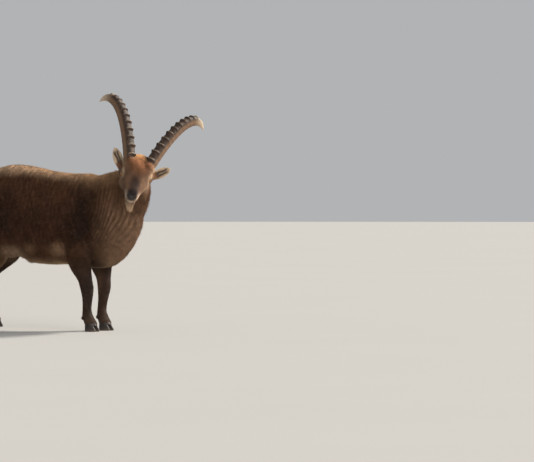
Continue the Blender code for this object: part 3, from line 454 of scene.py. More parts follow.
@dataclass
class Leg:
    """One leg from shoulder or hip to coronet, with the two small rear claws.

    The rows are distance ahead of the foot, outwards, height, then front, rear and side radius, and for
    a hind leg the share of its stride that each row takes.
    """

    name: str
    foot: Vector
    fore: Sequence[Row] = (
        (-0.050, 0.095, 0.620, 0.105, 0.110, 0.056),
        (-0.056, 0.112, 0.520, 0.090, 0.098, 0.058),
        (-0.040, 0.119, 0.435, 0.077, 0.086, 0.052),
        (-0.022, 0.113, 0.365, 0.058, 0.076, 0.046),
        (-0.008, 0.105, 0.300, 0.044, 0.046, 0.039),
        (0.000, 0.097, 0.238, 0.040, 0.037, 0.037),
        (0.000, 0.093, 0.200, 0.032, 0.032, 0.032),
        (-0.004, 0.090, 0.155, 0.026, 0.029, 0.0275),
        (-0.006, 0.088, 0.115, 0.026, 0.030, 0.0275),
        (-0.002, 0.087, 0.086, 0.030, 0.034, 0.032),
        (0.008, 0.086, 0.062, 0.033, 0.032, 0.034),
        (0.017, 0.085, 0.040, 0.040, 0.033, 0.037),
        (0.019, 0.085, 0.026, 0.042, 0.034, 0.038),
    )
    hind: Sequence[Row] = (
        (0.075, 0.080, 0.730, 0.120, 0.140, 0.066, 0.0),
        (0.078, 0.098, 0.630, 0.140, 0.150, 0.076, 0.25),
        (0.080, 0.108, 0.540, 0.132, 0.140, 0.074, 0.60),
        (0.076, 0.112, 0.465, 0.108, 0.112, 0.062, 0.90),
        (0.048, 0.111, 0.395, 0.076, 0.076, 0.048, 1.10),
        (0.008, 0.107, 0.330, 0.048, 0.050, 0.036, 1.15),
        (-0.022, 0.102, 0.280, 0.040, 0.043, 0.032, 1.10),
        (-0.026, 0.099, 0.238, 0.035, 0.035, 0.030, 1.05),
        (-0.019, 0.097, 0.180, 0.027, 0.030, 0.0265, 1.0),
        (-0.014, 0.096, 0.120, 0.026, 0.030, 0.0275, 1.0),
        (-0.008, 0.096, 0.086, 0.031, 0.037, 0.033, 1.0),
        (0.006, 0.095, 0.062, 0.033, 0.031, 0.034, 1.0),
        (0.014, 0.095, 0.040, 0.039, 0.032, 0.036, 1.0),
        (0.016, 0.095, 0.026, 0.041, 0.033, 0.037, 1.0),
    )
    hind_stance: float = -0.770
    claw_place: Row = (0.031, 0.0145, 0.010)
    claw_radii: Row = (0.0094, 0.0078, 0.0136)

    @property
    def mirror(self) -> int:
        """-1 for the animal's right, 1 for its left."""
        return -1 if "right" in self.name else 1

    def rows(self) -> list[Row]:
        """The leg's stations in the animal's own place."""
        if "front" in self.name:
            out = abs(self.foot.y) - self.fore[-1][1]
            return [(self.foot.x + x, self.mirror * (y + out), *rest) for x, y, *rest in self.fore]
        stride = self.foot.x - self.hind_stance
        return [
            (self.hind_stance + x + stride * share, self.mirror * y, *rest)
            for x, y, *rest, share in self.hind
        ]

    def rear_claws(self) -> list[Vector]:
        """The middles of the two small claws behind the fetlock."""
        fetlock = Vector(self.rows()[-4][:3])
        behind, out, lower = self.claw_place
        return [fetlock + Vector((-behind, out * inner, -lower)) for inner in (-1, 1)]

    def model(self, clay: Clay) -> None:
        """Adds the leg to the clay."""
        clay.tube(self.rows(), 60)
        for centre in self.rear_claws():
            clay.ball(centre, self.claw_radii, segments=16)


@dataclass
class HornShape:
    """A horn's arc, girth and ridges, laid out on the left side of a level head."""

    length: float = 0.572
    base: Vector = Vector((0.0596, 0.0772, -0.0060))
    spread: dict[int, float] = field(default_factory=lambda: {-1: math.radians(35.7), 1: math.radians(39.6)})
    lean: Row = (26.4, 27.9, 88.9, 4.5)
    half_width: float = 0.0272
    half_depth: float = 0.0390
    sunk: float = 0.014
    knobs: int = 11
    first_knob: float = 0.055
    first_gap: float = 0.096
    gap_share: float = 0.945
    rise: float = 0.0105
    steps: int = 400

    def path(self, mirror: int) -> list[tuple[float, Vector, Vector, Vector]]:
        """Share of length, centre, tangent and front direction at each step."""
        spread = Vector((math.sin(self.spread[mirror]), 0, -math.cos(self.spread[mirror])))
        centre = self.base.copy()
        first, even, late, lateness = self.lean
        found = []
        for k in range(self.steps + 1):
            t = k / self.steps
            lean = math.radians(first + even * t + late * t**lateness)
            tangent = spread * math.sin(lean) + Vector((0, 1, 0)) * math.cos(lean)
            front = Vector((0, 1, 0)) * math.sin(lean) - spread * math.cos(lean)
            found.append((t, centre.copy(), tangent, front))
            centre = centre + tangent * self.length / self.steps
        return found

    def section(self, t: float) -> tuple[float, float]:
        """Half width and half depth at share t of the length."""
        narrowing = 1 - 0.11 * t - 0.20 * t**3 - 0.66 * t**8
        return self.half_width * narrowing, self.half_depth * narrowing

    def placed(self, mirror: int, station: tuple) -> tuple[Vector, Vector, Vector, Vector]:
        """A station's point, tangent, front and side in the world."""
        _, centre, tangent, front = station
        flip = Matrix.Diagonal((mirror, 1, 1))
        along = LEVEL_HEAD @ (flip @ tangent)
        forward = LEVEL_HEAD @ (flip @ front)
        return HEAD_PLACE.middle + LEVEL_HEAD @ (flip @ centre), along, forward, along.cross(forward)

    def knob_places(self) -> list[float]:
        """Where the cross ridges are, closer together towards the tip."""
        gaps = self.first_gap * self.gap_share ** np.arange(self.knobs - 1)
        return list(self.first_knob + np.concatenate([[0.0], np.cumsum(gaps)]))

    def ridges(self, count: int = 4000) -> np.ndarray:
        """How much of a knob's full height the horn has, at even steps of its length."""
        t = np.linspace(0.0, 1.0, count + 1)
        height = np.zeros(count + 1)
        for place in self.knob_places():
            size = 1 - 0.35 * place
            offset = (t - place) / size
            height = np.maximum(height, size * ramp(offset, -0.027, -0.001) * (1 - ramp(offset, -0.001, 0.017)))
        return height


@dataclass
class EarShape:
    """Both ears: base, tip and the way each opens, by distances left, up and forward of a level head."""

    places: dict[int, tuple[Row, Row, Row]] = field(
        default_factory=lambda: {
            -1: ((-0.089, 0.022, -0.045), (-0.156, 0.129, -0.062), (-0.20, -0.05, 1.0)),
            1: ((0.091, 0.021, -0.045), (0.182, 0.095, -0.080), (0.05, -0.20, 1.0)),
        }
    )
    half_width: float = 0.0285
    cup: float = 0.0150
    thickness: float = 0.0036
    coat: float = 0.0010
    stations: Sequence[Row] = (
        (-0.12, 0.50, 0.78, 0.0),
        (0.00, 0.56, 0.84, 0.0),
        (0.09, 0.64, 0.90, 0.0),
        (0.19, 0.78, 0.98, 0.75),
        (0.32, 0.93, 1.00, 1.0),
        (0.48, 1.00, 0.92, 1.0),
        (0.64, 0.96, 0.78, 1.0),
        (0.79, 0.78, 0.62, 1.0),
        (0.90, 0.54, 0.48, 1.0),
        (0.97, 0.30, 0.40, 1.0),
        (1.00, 0.13, 0.36, 1.0),
    )

    def frame(self, mirror: int) -> tuple[Vector, float, Vector, Vector, Vector]:
        """Base point, length, and the lengthwise, opening and crosswise directions of one ear."""
        base, tip, opening = (Vector(values) for values in self.places[mirror])
        reach = LEVEL_HEAD @ (tip - base)
        along = reach.normalized()
        faces = LEVEL_HEAD @ opening
        faces = (faces - along * faces.dot(along)).normalized()
        return HEAD_PLACE.middle + LEVEL_HEAD @ base, reach.length, along, faces, along.cross(faces)

    def local(self, points: np.ndarray, mirror: int) -> np.ndarray:
        """Places as share of an ear's length, distance across it and distance towards its opening."""
        start, length, along, faces, across = self.frame(mirror)
        away = points - np.array(start)
        return np.column_stack([away @ np.array(along) / length, away @ np.array(across), away @ np.array(faces)])

    def shell(self, mirror: int) -> bpy.types.Mesh:
        """One ear: a thin, cupped leaf on a round stalk."""
        start, length, along, faces, across = self.frame(mirror)
        rings = []
        for t, _, _, wide, deep, hollow in smooth_rows([(s[0], 0, 0, *s[1:]) for s in self.stations], 80):
            half_width, cup = self.half_width * wide - self.coat, self.cup * deep - 0.5 * self.coat
            centre = start + along * (length * t - self.coat)
            rings.append(self.outline(centre, across, faces, half_width, cup, min(max(hollow, 0.0), 1.0)))
        clay = Clay()
        clay.loft(rings)
        return clay.mesh("ear")

    def model(self, clay: Clay) -> None:
        """Adds the ears' fleshy roots to the clay."""
        for mirror in SIDES:
            start, _, along, faces, across = self.frame(mirror)
            half_width, cup = self.half_width * 0.56, self.cup * 0.84
            rings = [
                ring(start + along * reach, across, faces, half_width + wide, cup + wide, cup + wide, count=24)
                for reach, wide in ((-0.050, 0.010), (-0.020, 0.008), (0.000, 0.006), (0.007, 0.003))
            ]
            clay.loft(rings)

    def outline(
        self, centre: Vector, across: Vector, faces: Vector, half_width: float, cup: float, hollow: float
    ) -> list[Vector]:
        """One section of an ear: a full oval where hollow is 0, a thin cup where it is 1."""
        points = []
        for k in range(23):
            angle = math.pi * (k / 22 - 0.5)
            points.append(centre + across * half_width * math.sin(angle) - faces * cup * math.cos(angle))
        inner_width = half_width - 0.35 * self.thickness * hollow
        inner_cup = (cup - self.thickness) * hollow - 0.75 * cup * (1 - hollow)
        for k in range(21):
            angle = math.pi * (0.5 - (k + 1) / 22)
            points.append(centre + across * inner_width * math.sin(angle) - faces * inner_cup * math.cos(angle))
        return points


@dataclass
class Face:
    """Skull, jaw and the features cut into them.

    The skull's and jaw's rows are left, dorsal level, place along the face, half width, rise and drop.
    """

    skull: Sequence[Row] = (
        (0.0, -0.005, -0.116, 0.044, 0.040, 0.040),
        (0.0, -0.005, -0.100, 0.066, 0.068, 0.066),
        (0.0, -0.004, -0.070, 0.085, 0.095, 0.086),
        (0.0, -0.004, -0.035, 0.090, 0.093, 0.094),
        (0.0, -0.005, 0.000, 0.087, 0.078, 0.094),
        (0.0, -0.010, 0.030, 0.079, 0.067, 0.086),
        (0.0, -0.015, 0.062, 0.067, 0.057, 0.073),
        (0.0, -0.019, 0.095, 0.052, 0.049, 0.058),
        (0.0, -0.021, 0.122, 0.043, 0.041, 0.047),
        (0.0, -0.023, 0.143, 0.039, 0.034, 0.046),
        (0.0, -0.026, 0.158, 0.030, 0.024, 0.037),
        (0.0, -0.029, 0.167, 0.013, 0.010, 0.016),
    )
    jaw: Sequence[Row] = (
        (0.0, -0.062, -0.040, 0.050, 0.030, 0.030),
        (0.0, -0.066, 0.000, 0.056, 0.030, 0.034),
        (0.0, -0.069, 0.035, 0.053, 0.030, 0.032),
        (0.0, -0.071, 0.065, 0.044, 0.029, 0.029),
        (0.0, -0.073, 0.095, 0.036, 0.026, 0.025),
        (0.0, -0.075, 0.122, 0.033, 0.023, 0.025),
        (0.0, -0.077, 0.143, 0.027, 0.016, 0.021),
        (0.0, -0.078, 0.153, 0.012, 0.007, 0.010),
    )
    mouth: Sequence[Row] = (
        (0.049, -0.052, 0.078),
        (0.041, -0.057, 0.102),
        (0.034, -0.062, 0.124),
        (0.028, -0.065, 0.145),
        (0.016, -0.066, 0.160),
        (0.000, -0.065, 0.165),
    )
    mouth_depth: float = 0.0055
    mouth_gape: float = 0.0030
    nostril_place: Row = (0.0200, -0.012, 0.1580)
    nostril_radii: Row = (0.0042, 0.0088, 0.0100)
    eye_side: float = 0.0720
    eye_radius: float = 0.0190
    eye_look: Vector = Vector((0.77, 0.13, 0.61))
    lid_thickness: float = 0.0034
    lid_half_length: float = 0.0166
    lid_half_height: float = 0.0118

    def tube(self, clay: Clay, stations: Sequence[Row], count: int, power: float, egg: float) -> None:
        """Adds a tube along the face.

        Args:
            clay: What it is added to.
            stations: Its rows.
            count: How many outlines it is skinned from.
            power: How square it is.
            egg: How much wider it is above.
        """
        side, up = HEAD.col[0].copy(), HEAD.col[1].copy()
        rings = [
            ring(on_head(*row[:3]), side, up, row[3], row[4], row[5], power, egg, 40)
            for row in smooth_rows(stations, count)
        ]
        clay.loft(rings)

    def model(self, clay: Clay) -> None:
        """Adds the head's solid forms to the clay."""
        self.tube(clay, self.skull, 56, 2.3, 0.03)
        self.tube(clay, self.jaw, 36, 2.2, 0.0)
        clay.ball(on_head(0.0, 0.040, -0.070), (0.066, 0.056, 0.050), HEAD)
        clay.ball(on_head(0.0, 0.020, -0.034), (0.080, 0.072, 0.080), HEAD)
        horns = HornShape()
        for mirror in SIDES:
            clay.ball(on_head(0.052 * mirror, -0.050, -0.006), (0.036, 0.046, 0.060), HEAD)
            clay.ball(on_head(0.063 * mirror, 0.020, -0.008), (0.027, 0.018, 0.034), HEAD)
            clay.ball(on_head(0.021 * mirror, -0.028, 0.141), (0.018, 0.022, 0.022), HEAD)
            place, along, forward, side = horns.placed(mirror, horns.path(mirror)[0])
            half_width, half_depth = horns.section(0.0)
            rows = ((-0.056, -0.014), (-0.034, -0.002), (-0.018, 0.006), (-0.002, 0.0070), (0.004, 0.0045))
            rings = [
                ring(place + along * reach, side, forward, half_width + wide, half_depth + wide, half_depth + wide, 2.3, 0.1)
                for reach, wide in rows
            ]
            clay.loft(rings)

    def eye_frame(self, mirror: int) -> tuple[Vector, Vector, Vector, Vector]:
        """Where an eye sits, the way it looks, and the lines along and across its opening."""
        centre = on_head(self.eye_side * mirror, 0.0, 0.0)
        look = (HEAD @ Vector((self.eye_look.x * mirror, self.eye_look.y, self.eye_look.z))).normalized()
        ahead = HEAD @ Vector((0.0, -0.22, 1.0))
        lengthwise = (ahead - look * look.dot(ahead)).normalized()
        return centre, look, lengthwise, look.cross(lengthwise) * mirror

    def lids(self, mirror: int) -> bpy.types.Mesh:
        """The ball of flesh that the lids are cut from."""
        centre, look, _, _ = self.eye_frame(mirror)
        clay = Clay()
        radius = self.eye_radius + self.lid_thickness
        clay.ball(centre, (radius,) * 3, look.to_track_quat("Z", "X").to_matrix(), 56)
        return clay.mesh("lids")

    def socket(self, mirror: int) -> bpy.types.Mesh:
        """The round hollow that holds an eye."""
        centre, look, _, _ = self.eye_frame(mirror)
        clay = Clay()
        clay.ball(centre, (self.eye_radius + 0.0004,) * 3, look.to_track_quat("Z", "X").to_matrix(), 48)
        return clay.mesh("socket")

    def opening(self, mirror: int) -> bpy.types.Mesh:
        """The almond-shaped space between the lids."""
        centre, look, lengthwise, upward = self.eye_frame(mirror)
        rings = []
        for reach in (0.35, 0.9, 1.2, 2.6):
            outline = []
            for k in range(40):
                angle = 2 * math.pi * k / 40
                along, across = math.cos(angle), math.sin(angle)
                height = self.lid_half_height * across * (1 - 0.35 * along**2)
                point = lengthwise * self.lid_half_length * along + upward * height
                outline.append(centre + look * reach * self.eye_radius + point * reach)
            rings.append(outline)
        clay = Clay()
        clay.loft(rings)
        return clay.mesh("opening")

    def nostril(self, mirror: int) -> bpy.types.Mesh:
        """The slanting hollow of a nostril."""
        turn = HEAD @ Matrix.Rotation(math.radians(24.0 * mirror), 3, "Z") @ Matrix.Rotation(math.radians(-18.0), 3, "X")
        left, dorsal, face = self.nostril_place
        clay = Clay()
        clay.ball(on_head(left * mirror, dorsal, face), self.nostril_radii, turn, 28)
        return clay.mesh("nostril")

    def mouth_path(self) -> list[Vector]:
        """The line of the mouth from corner to corner, in the head's own distances."""
        half = smooth_rows(self.mouth, 30)
        return [Vector(row) for row in half] + [Vector((-row[0], row[1], row[2])) for row in half[-2::-1]]

    def slit(self) -> bpy.types.Mesh:
        """The thin wedge that cuts the line of the mouth."""
        path = self.mouth_path()
        rings = []
        for i, point in enumerate(path):
            reach = path[min(i + 1, len(path) - 1)] - path[max(i - 1, 0)]
            out = Vector((0, 1, 0)).cross(reach).normalized()
            if out.dot(point - Vector((0, point.y, 0.06))) < 0:
                out = -out
            closing = float(0.25 + 0.75 * ramp(min(i, len(path) - 1 - i), 0, 5))
            deep, wide = point - out * self.mouth_depth * closing, point + out * 0.022
            lift = Vector((0, 0.5 * self.mouth_gape * closing, 0))
            ends = (deep + 0.3 * lift, wide + 2.2 * lift, wide - 2.2 * lift, deep - 0.3 * lift)
            rings.append([on_head(*end) for end in ends])
        clay = Clay()
        clay.loft(rings)
        return clay.mesh("slit")


# Markings and painted light.


class Side(Enum):
    """What a wash of colour is placed by."""

    BODY = "body"
    HEAD = "head"


@dataclass(frozen=True)
class Wash:
    """A soft patch of colour, alike on both sides of the animal."""

    name: str
    by: Side
    centre: Row
    radii: Row
    colour: Row
    strength: float = 1.0
    soft: float = 0.9

    def share(self, body: np.ndarray, head: np.ndarray) -> np.ndarray:
        """How strongly the wash covers each place.

        Args:
            body: Places in the animal's frame.
            head: The same in the head's.

        Returns:
            A share for each place.
        """
        where = (body if self.by is Side.BODY else head).copy()
        where[:, 1 if self.by is Side.BODY else 0] = np.abs(where[:, 1 if self.by is Side.BODY else 0])
        away = np.linalg.norm((where - np.array(self.centre)) / np.array(self.radii), axis=1)
        return self.strength * (1 - ramp(away, 1 - self.soft, 1 + self.soft))


BODY, FACE = Side.BODY, Side.HEAD
FLANK = tone(92, 61, 42)
WASHES = (
    Wash("neck", BODY, (0.22, 0.05, 0.72), (0.20, 0.20, 0.24), (126, 94, 70), 0.9),
    Wash("flank", BODY, (-0.35, 0.20, 0.62), (0.34, 0.10, 0.13), (68, 43, 30), 0.8),
    Wash("shoulder", BODY, (0.02, 0.17, 0.64), (0.11, 0.11, 0.28), (40, 25, 19), 0.93),
    Wash("haunch", BODY, (-0.68, 0.17, 0.66), (0.16, 0.10, 0.19), (44, 27, 21), 0.9),
    # Painted light: the back, saddle and withers washes paint the top of the back pale, as it looks lit from above and
    # behind.
    Wash("back", BODY, (-0.58, 0.0, 0.965), (0.36, 0.24, 0.055), (236, 198, 160), 0.95, 0.7),
    Wash("saddle", BODY, (-0.14, 0.0, 0.930), (0.24, 0.24, 0.050), (236, 196, 156), 0.95, 0.7),
    Wash("withers", BODY, (0.06, 0.0, 0.93), (0.20, 0.20, 0.075), (188, 150, 114), 0.85),
    Wash("back line", BODY, (-0.42, 0.0, 0.96), (0.60, 0.018, 0.05), (112, 80, 58), 0.6, 0.6),
    Wash("chest", BODY, (0.24, 0.0, 0.58), (0.12, 0.16, 0.17), (168, 135, 110), 0.85),
    Wash("breast", BODY, (0.13, 0.0, 0.44), (0.12, 0.12, 0.07), (150, 118, 94), 0.7),
    Wash("belly band", BODY, (-0.30, 0.14, 0.46), (0.34, 0.06, 0.045), (100, 69, 48), 0.8),
    Wash("elbow patch", BODY, (-0.17, 0.14, 0.465), (0.050, 0.06, 0.034), (178, 144, 114), 0.7),
    Wash("side patch", BODY, (-0.39, 0.14, 0.475), (0.045, 0.06, 0.026), (160, 128, 100), 0.45),
    Wash("belly", BODY, (-0.30, 0.0, 0.375), (0.46, 0.13, 0.045), (186, 156, 124), 0.9),
    Wash("flank fold", BODY, (-0.53, 0.12, 0.445), (0.07, 0.07, 0.035), (186, 158, 130), 0.75),
    Wash("groin", BODY, (-0.70, 0.0, 0.45), (0.16, 0.07, 0.12), (196, 176, 152), 0.85),
    Wash("rump", BODY, (-0.89, 0.0, 0.72), (0.05, 0.07, 0.12), (200, 180, 156), 0.8),
    Wash("tail", BODY, (-0.93, 0.0, 0.80), (0.035, 0.05, 0.10), (52, 36, 28), 0.9, 0.5),
    Wash("fore legs", BODY, (0.0, 0.10, 0.20), (0.16, 0.10, 0.26), (64, 46, 37), 0.95, 0.35),
    Wash("hind legs", BODY, (-0.82, 0.10, 0.18), (0.20, 0.12, 0.26), (62, 44, 35), 0.95, 0.35),
    Wash("leg fronts", BODY, (0.045, 0.095, 0.20), (0.035, 0.05, 0.20), (42, 30, 25), 0.85),
    Wash("leg backs", BODY, (-0.060, 0.10, 0.27), (0.030, 0.05, 0.09), (150, 120, 94), 0.6),
    Wash("pasterns", BODY, (-0.03, 0.09, 0.06), (0.10, 0.06, 0.03), (92, 74, 60), 0.6),
    Wash("face", FACE, (0.05, 0.0, 0.03), (0.06, 0.10, 0.13), (122, 94, 74), 0.85),
    Wash("forehead", FACE, (0.0, 0.085, -0.02), (0.055, 0.04, 0.055), (158, 108, 76), 0.9),
    Wash("crown", FACE, (0.0, 0.095, -0.085), (0.050, 0.05, 0.035), (206, 156, 106), 0.9),
    Wash("nose ridge", FACE, (0.0, 0.030, 0.102), (0.026, 0.036, 0.064), (62, 47, 42), 0.9, 0.65),
    Wash("nose", FACE, (0.0, -0.004, 0.150), (0.033, 0.032, 0.032), (32, 25, 25), 1.0, 0.45),
    Wash("muzzle rim", FACE, (0.038, -0.034, 0.146), (0.016, 0.028, 0.034), (216, 192, 168), 0.85, 0.75),
    Wash("upper lip", FACE, (0.0, -0.052, 0.160), (0.034, 0.014, 0.024), (218, 194, 170), 0.9, 0.5),
    Wash("chin", FACE, (0.0, -0.094, 0.112), (0.036, 0.032, 0.054), (200, 172, 142), 0.9, 0.6),
    # The cheek wash is partly the cheeks' own paler hair and partly painted light on them.
    Wash("cheek", FACE, (0.066, -0.045, 0.020), (0.026, 0.040, 0.055), (168, 138, 112), 0.7),
    Wash("jaw", FACE, (0.0, -0.100, 0.03), (0.05, 0.022, 0.07), (104, 80, 62), 0.8),
    Wash("eye ring", FACE, (0.082, 0.006, 0.008), (0.030, 0.030, 0.034), (196, 168, 138), 0.85, 0.4),
    Wash("tear line", FACE, (0.070, -0.006, 0.030), (0.008, 0.007, 0.016), (66, 48, 39), 0.6, 0.6),
    # Painted light: the temple wash paints the temples pale, as they look lit.
    Wash("temple", FACE, (0.085, 0.030, -0.050), (0.030, 0.034, 0.036), (184, 154, 124), 0.8),
)


def coat_colours(body: np.ndarray) -> np.ndarray:
    """The coat's colour at each place, painted light included.

    Args:
        body: Places in the animal's frame.

    Returns:
        Colours as light, one a row.
    """
    head = in_head(body)
    found = np.tile(FLANK, (len(body), 1))
    on_face = ramp(ahead_of_neck(body), -0.03, 0.03)
    for wash in WASHES:
        share = wash.share(body, head)
        share = share * (on_face if wash.by is FACE else 1 - on_face)
        found += share[:, None] * (tone(*wash.colour) - found)
    clouds = 1 + 0.16 * ripple(body, 0.050, 5) + 0.10 * ripple(body, 0.018, 6)
    return found * clouds[:, None]


# The skin.


class Zone(Enum):
    """The parts of the skin, each with a coat piece of its own, except the bare one."""

    BARE = 0
    TRUNK_FRONT_RIGHT = 1
    TRUNK_FRONT_LEFT = 2
    TRUNK_REAR_RIGHT = 3
    TRUNK_REAR_LEFT = 4
    NECK_RIGHT = 5
    NECK_LEFT = 6
    LEG_FRONT_RIGHT = 7
    LEG_FRONT_LEFT = 8
    LEG_HIND_RIGHT = 9
    LEG_HIND_LEFT = 10
    FACE_RIGHT = 11
    FACE_LEFT = 12
    EARS = 13
    CHIN = 14
    TAIL = 15


@dataclass
class Skin:
    """One skin over trunk, neck, head, ears, legs and tail, a little inside the solids."""

    trunk: Trunk
    legs: Sequence[Leg]
    face: Face
    ears: EarShape
    voxel: float = 0.0027
    soft_reach: float = 0.016
    light_reach: float = 0.0048
    triangles: int = 176000
    fold_gap: float = 0.026
    fold_height: float = 0.0040

    def clay(self) -> bpy.types.Mesh:
        """All the forms, pressed together."""
        clay = Clay()
        self.trunk.model(clay)
        for leg in self.legs:
            leg.model(clay)
        self.face.model(clay)
        self.ears.model(clay)
        return clay.mesh("flesh")

    def softness(self, points: np.ndarray) -> np.ndarray:
        """How far flesh is evened out: fully on the trunk and neck, not on the face, feet or tail."""
        on_body = ramp(points[:, 2], 0.34, 0.50) * ramp(points[:, 0], -0.90, -0.85)
        return on_body * (1 - ramp(ahead_of_neck(points), -0.020, 0.040))

    def near_ears(self, points: np.ndarray) -> np.ndarray:
        """1 on the ears and 0 away from them."""
        found = np.zeros(len(points))
        for mirror in SIDES:
            t, across, out = self.ears.local(points, mirror).T
            inside = ramp(t, 0.02, 0.12) * (1 - ramp(t, 1.05, 1.2))
            found = np.maximum(found, inside * (1 - ramp(np.hypot(across, out), 0.036, 0.044)))
        return found

    def depth(self, points: np.ndarray) -> np.ndarray:
        """How far the skin lies inside the solids: the depth of the coat at each place."""
        on_legs = 1 - ramp(points[:, 2], 0.30, 0.46)
        on_face = ramp(ahead_of_neck(points), -0.04, 0.04)
        return 0.0042 + (0.0018 - 0.0042) * np.maximum(on_legs, on_face)

    def on_chin(self, head: np.ndarray) -> np.ndarray:
        """How far places are on the chin, where the beard grows, by their places on the head."""
        across = 1 - ramp(np.abs(head[:, 0]), 0.022, 0.028)
        along = ramp(head[:, 2], 0.080, 0.092) * (1 - ramp(head[:, 2], 0.142, 0.150))
        return across * along * ramp(-head[:, 1], 0.084, 0.090) * (1 - ramp(-head[:, 1], 0.112, 0.118))

    def folds(self, points: np.ndarray) -> np.ndarray:
        """The soft upright folds of the neck's long hair, from -1 to 1."""
        x, y, z = points.T
        around = x + 0.55 * (0.80 - z) * ramp(0.85 - z, 0.0, 0.5) - 0.20 * np.abs(y)
        wave = np.sin(2 * math.pi * (around / self.fold_gap) + 2.2 * ripple(points, 0.10, 11))
        place = ramp(x, 0.02, 0.12) * (1 - ramp(ahead_of_neck(points), -0.06, -0.01)) * ramp(z, 0.48, 0.60)
        return wave * place * (1 - 0.75 * ramp(z, 0.79, 0.90)) * (0.65 + 0.35 * ripple(points, 0.07, 12))

    def fused(self) -> bpy.types.Mesh:
        """The forms as one closed skin, evened out as the solids are."""
        thing = link("flesh", self.clay())
        remesh = thing.modifiers.new("fuse", "REMESH")
        remesh.mode = "VOXEL"
        remesh.voxel_size = self.voxel
        thing = link("skin", applied(thing))
        points = corners(thing.data)
        groups = {"soft": self.softness(points), "light": 1 - 0.8 * self.near_ears(points)}
        for name, weights in groups.items():
            group = thing.vertex_groups.new(name=name)
            for share in range(1, 21):
                chosen = np.nonzero(np.rint(weights * 20) == share)[0]
                if len(chosen):
                    group.add(chosen.tolist(), share / 20, "REPLACE")
        for name, reach in (("soft", self.soft_reach), ("light", self.light_reach)):
            even = thing.modifiers.new(name, "SMOOTH")
            even.factor = 1.0
            even.iterations = round(4 * (reach / self.voxel) ** 2)
            even.vertex_group = name
        return applied(thing)

    def sunk(self, mesh: bpy.types.Mesh) -> None:
        """Moves the skin in by the coat's depth and raises its folds."""
        points = corners(mesh)
        normals = np.empty(len(points) * 3, np.float32)
        mesh.vertex_normals.foreach_get("vector", normals)
        normals = normals.reshape(-1, 3)
        inward = self.depth(points) * (1 - 0.85 * self.near_ears(points))
        rise = self.fold_height * self.folds(points) + 0.0012 * ripple(points, 0.022, 3) * self.softness(points)
        mesh.vertices.foreach_set("co", (points + normals * (rise - inward)[:, None]).astype(np.float32).ravel())

    def thinned(self, mesh: bpy.types.Mesh) -> bpy.types.Mesh:
        """Thins the skin away from the head, down to its count of triangles."""
        thing = link("skin", mesh)
        points = corners(mesh)
        group = thing.vertex_groups.new(name="thin")
        group.add(np.nonzero(ahead_of_neck(points) < -0.02)[0].tolist(), 1.0, "REPLACE")
        thin = thing.modifiers.new("thin", "DECIMATE")
        thin.ratio = self.triangles / (2 * len(mesh.polygons))
        thin.vertex_group = "thin"
        thin.use_collapse_triangulate = True
        return applied(thing)

    def carved(self, mesh: bpy.types.Mesh) -> bpy.types.Mesh:
        """Adds the lids and ears and cuts the sockets, nostrils and mouth."""
        steps = {
            "UNION": [make(mirror) for mirror in SIDES for make in (self.face.lids, self.ears.shell)],
            "DIFFERENCE": [self.face.slit()]
            + [make(mirror) for mirror in SIDES for make in (self.face.socket, self.face.opening, self.face.nostril)],
        }
        for operation, tools in steps.items():
            thing = link("skin", mesh)
            group = bpy.data.collections.new(operation)
            bpy.context.scene.collection.children.link(group)
            helpers = [bpy.data.objects.new("helper", tool) for tool in tools]
            for helper in helpers:
                group.objects.link(helper)
            cut = thing.modifiers.new("cut", "BOOLEAN")
            cut.operation = operation
            cut.solver = "MANIFOLD"
            cut.operand_type = "COLLECTION"
            cut.collection = group
            mesh = applied(thing)
            for helper in helpers:
                bpy.data.objects.remove(helper)
            bpy.data.collections.remove(group)
        return mesh

    def comb(self, points: np.ndarray, normals: np.ndarray) -> np.ndarray:
        """The lie of the hair: from the nose back over the head, down the neck and legs, back on the trunk."""
        x, y, z = points.T
        on_face = ramp(ahead_of_neck(points), -0.05, 0.02)
        on_neck = ramp(x, -0.06, 0.10) * ramp(z, 0.42, 0.55)
        on_legs = 1 - ramp(z, 0.38, 0.52)
        on_back = ramp(z, 0.72, 0.92)
        side = np.sign(y) * ramp(np.abs(y), 0.0, 0.12)
        back = np.column_stack([-np.ones(len(x)), 0.10 * side, -0.55 + 0.5 * on_back])
        down_neck = np.column_stack([-0.34 + 0 * x, 0.05 * side, -np.ones(len(x))])
        down = np.column_stack([-0.22 + 0 * x, 0 * x, -np.ones(len(x))])
        head = in_head(points)
        outward = np.sign(head[:, 0]) * ramp(np.abs(head[:, 0]), 0.0, 0.05)
        face = np.column_stack([0.35 * outward, 0.15 - 0.5 * ramp(-head[:, 1], 0.0, 0.08), -np.ones(len(x))])
        face = face @ np.array(HEAD).T
        found = back * (1 - on_neck)[:, None] + down_neck * on_neck[:, None]
        found = found * (1 - on_legs)[:, None] + down * on_legs[:, None]
        found = found * (1 - on_face)[:, None] + face * on_face[:, None]
        found += (self.beard_way(points) - found) * self.on_chin(head)[:, None]
        for mirror in SIDES:
            t, across, out = self.ears.local(points, mirror).T
            start, length, along, faces, cross = self.ears.frame(mirror)
            near = (t > 0.0) & (t < 1.2) & (np.hypot(across, out) < 0.042)
            found[near] = np.array(along) + np.array(cross) * (across[near] / 0.03)[:, None] * 0.25
            apart, lengthwise, upward = self.round_eye(points, mirror)
            out_of = np.column_stack([lengthwise, upward]) / np.maximum(np.hypot(lengthwise, upward), 1e-4)[:, None]
            out_of = out_of @ np.array(self.face.eye_frame(mirror)[2:])
            found += 1.6 * (1 - ramp(apart, 0.024, 0.040))[:, None] * out_of
        found += 0.16 * np.column_stack([ripple(points, 0.06, seed) for seed in (21, 22, 23)])
        found -= normals * (found * normals).sum(1)[:, None]
        return found / np.maximum(np.linalg.norm(found, axis=1), 1e-6)[:, None]

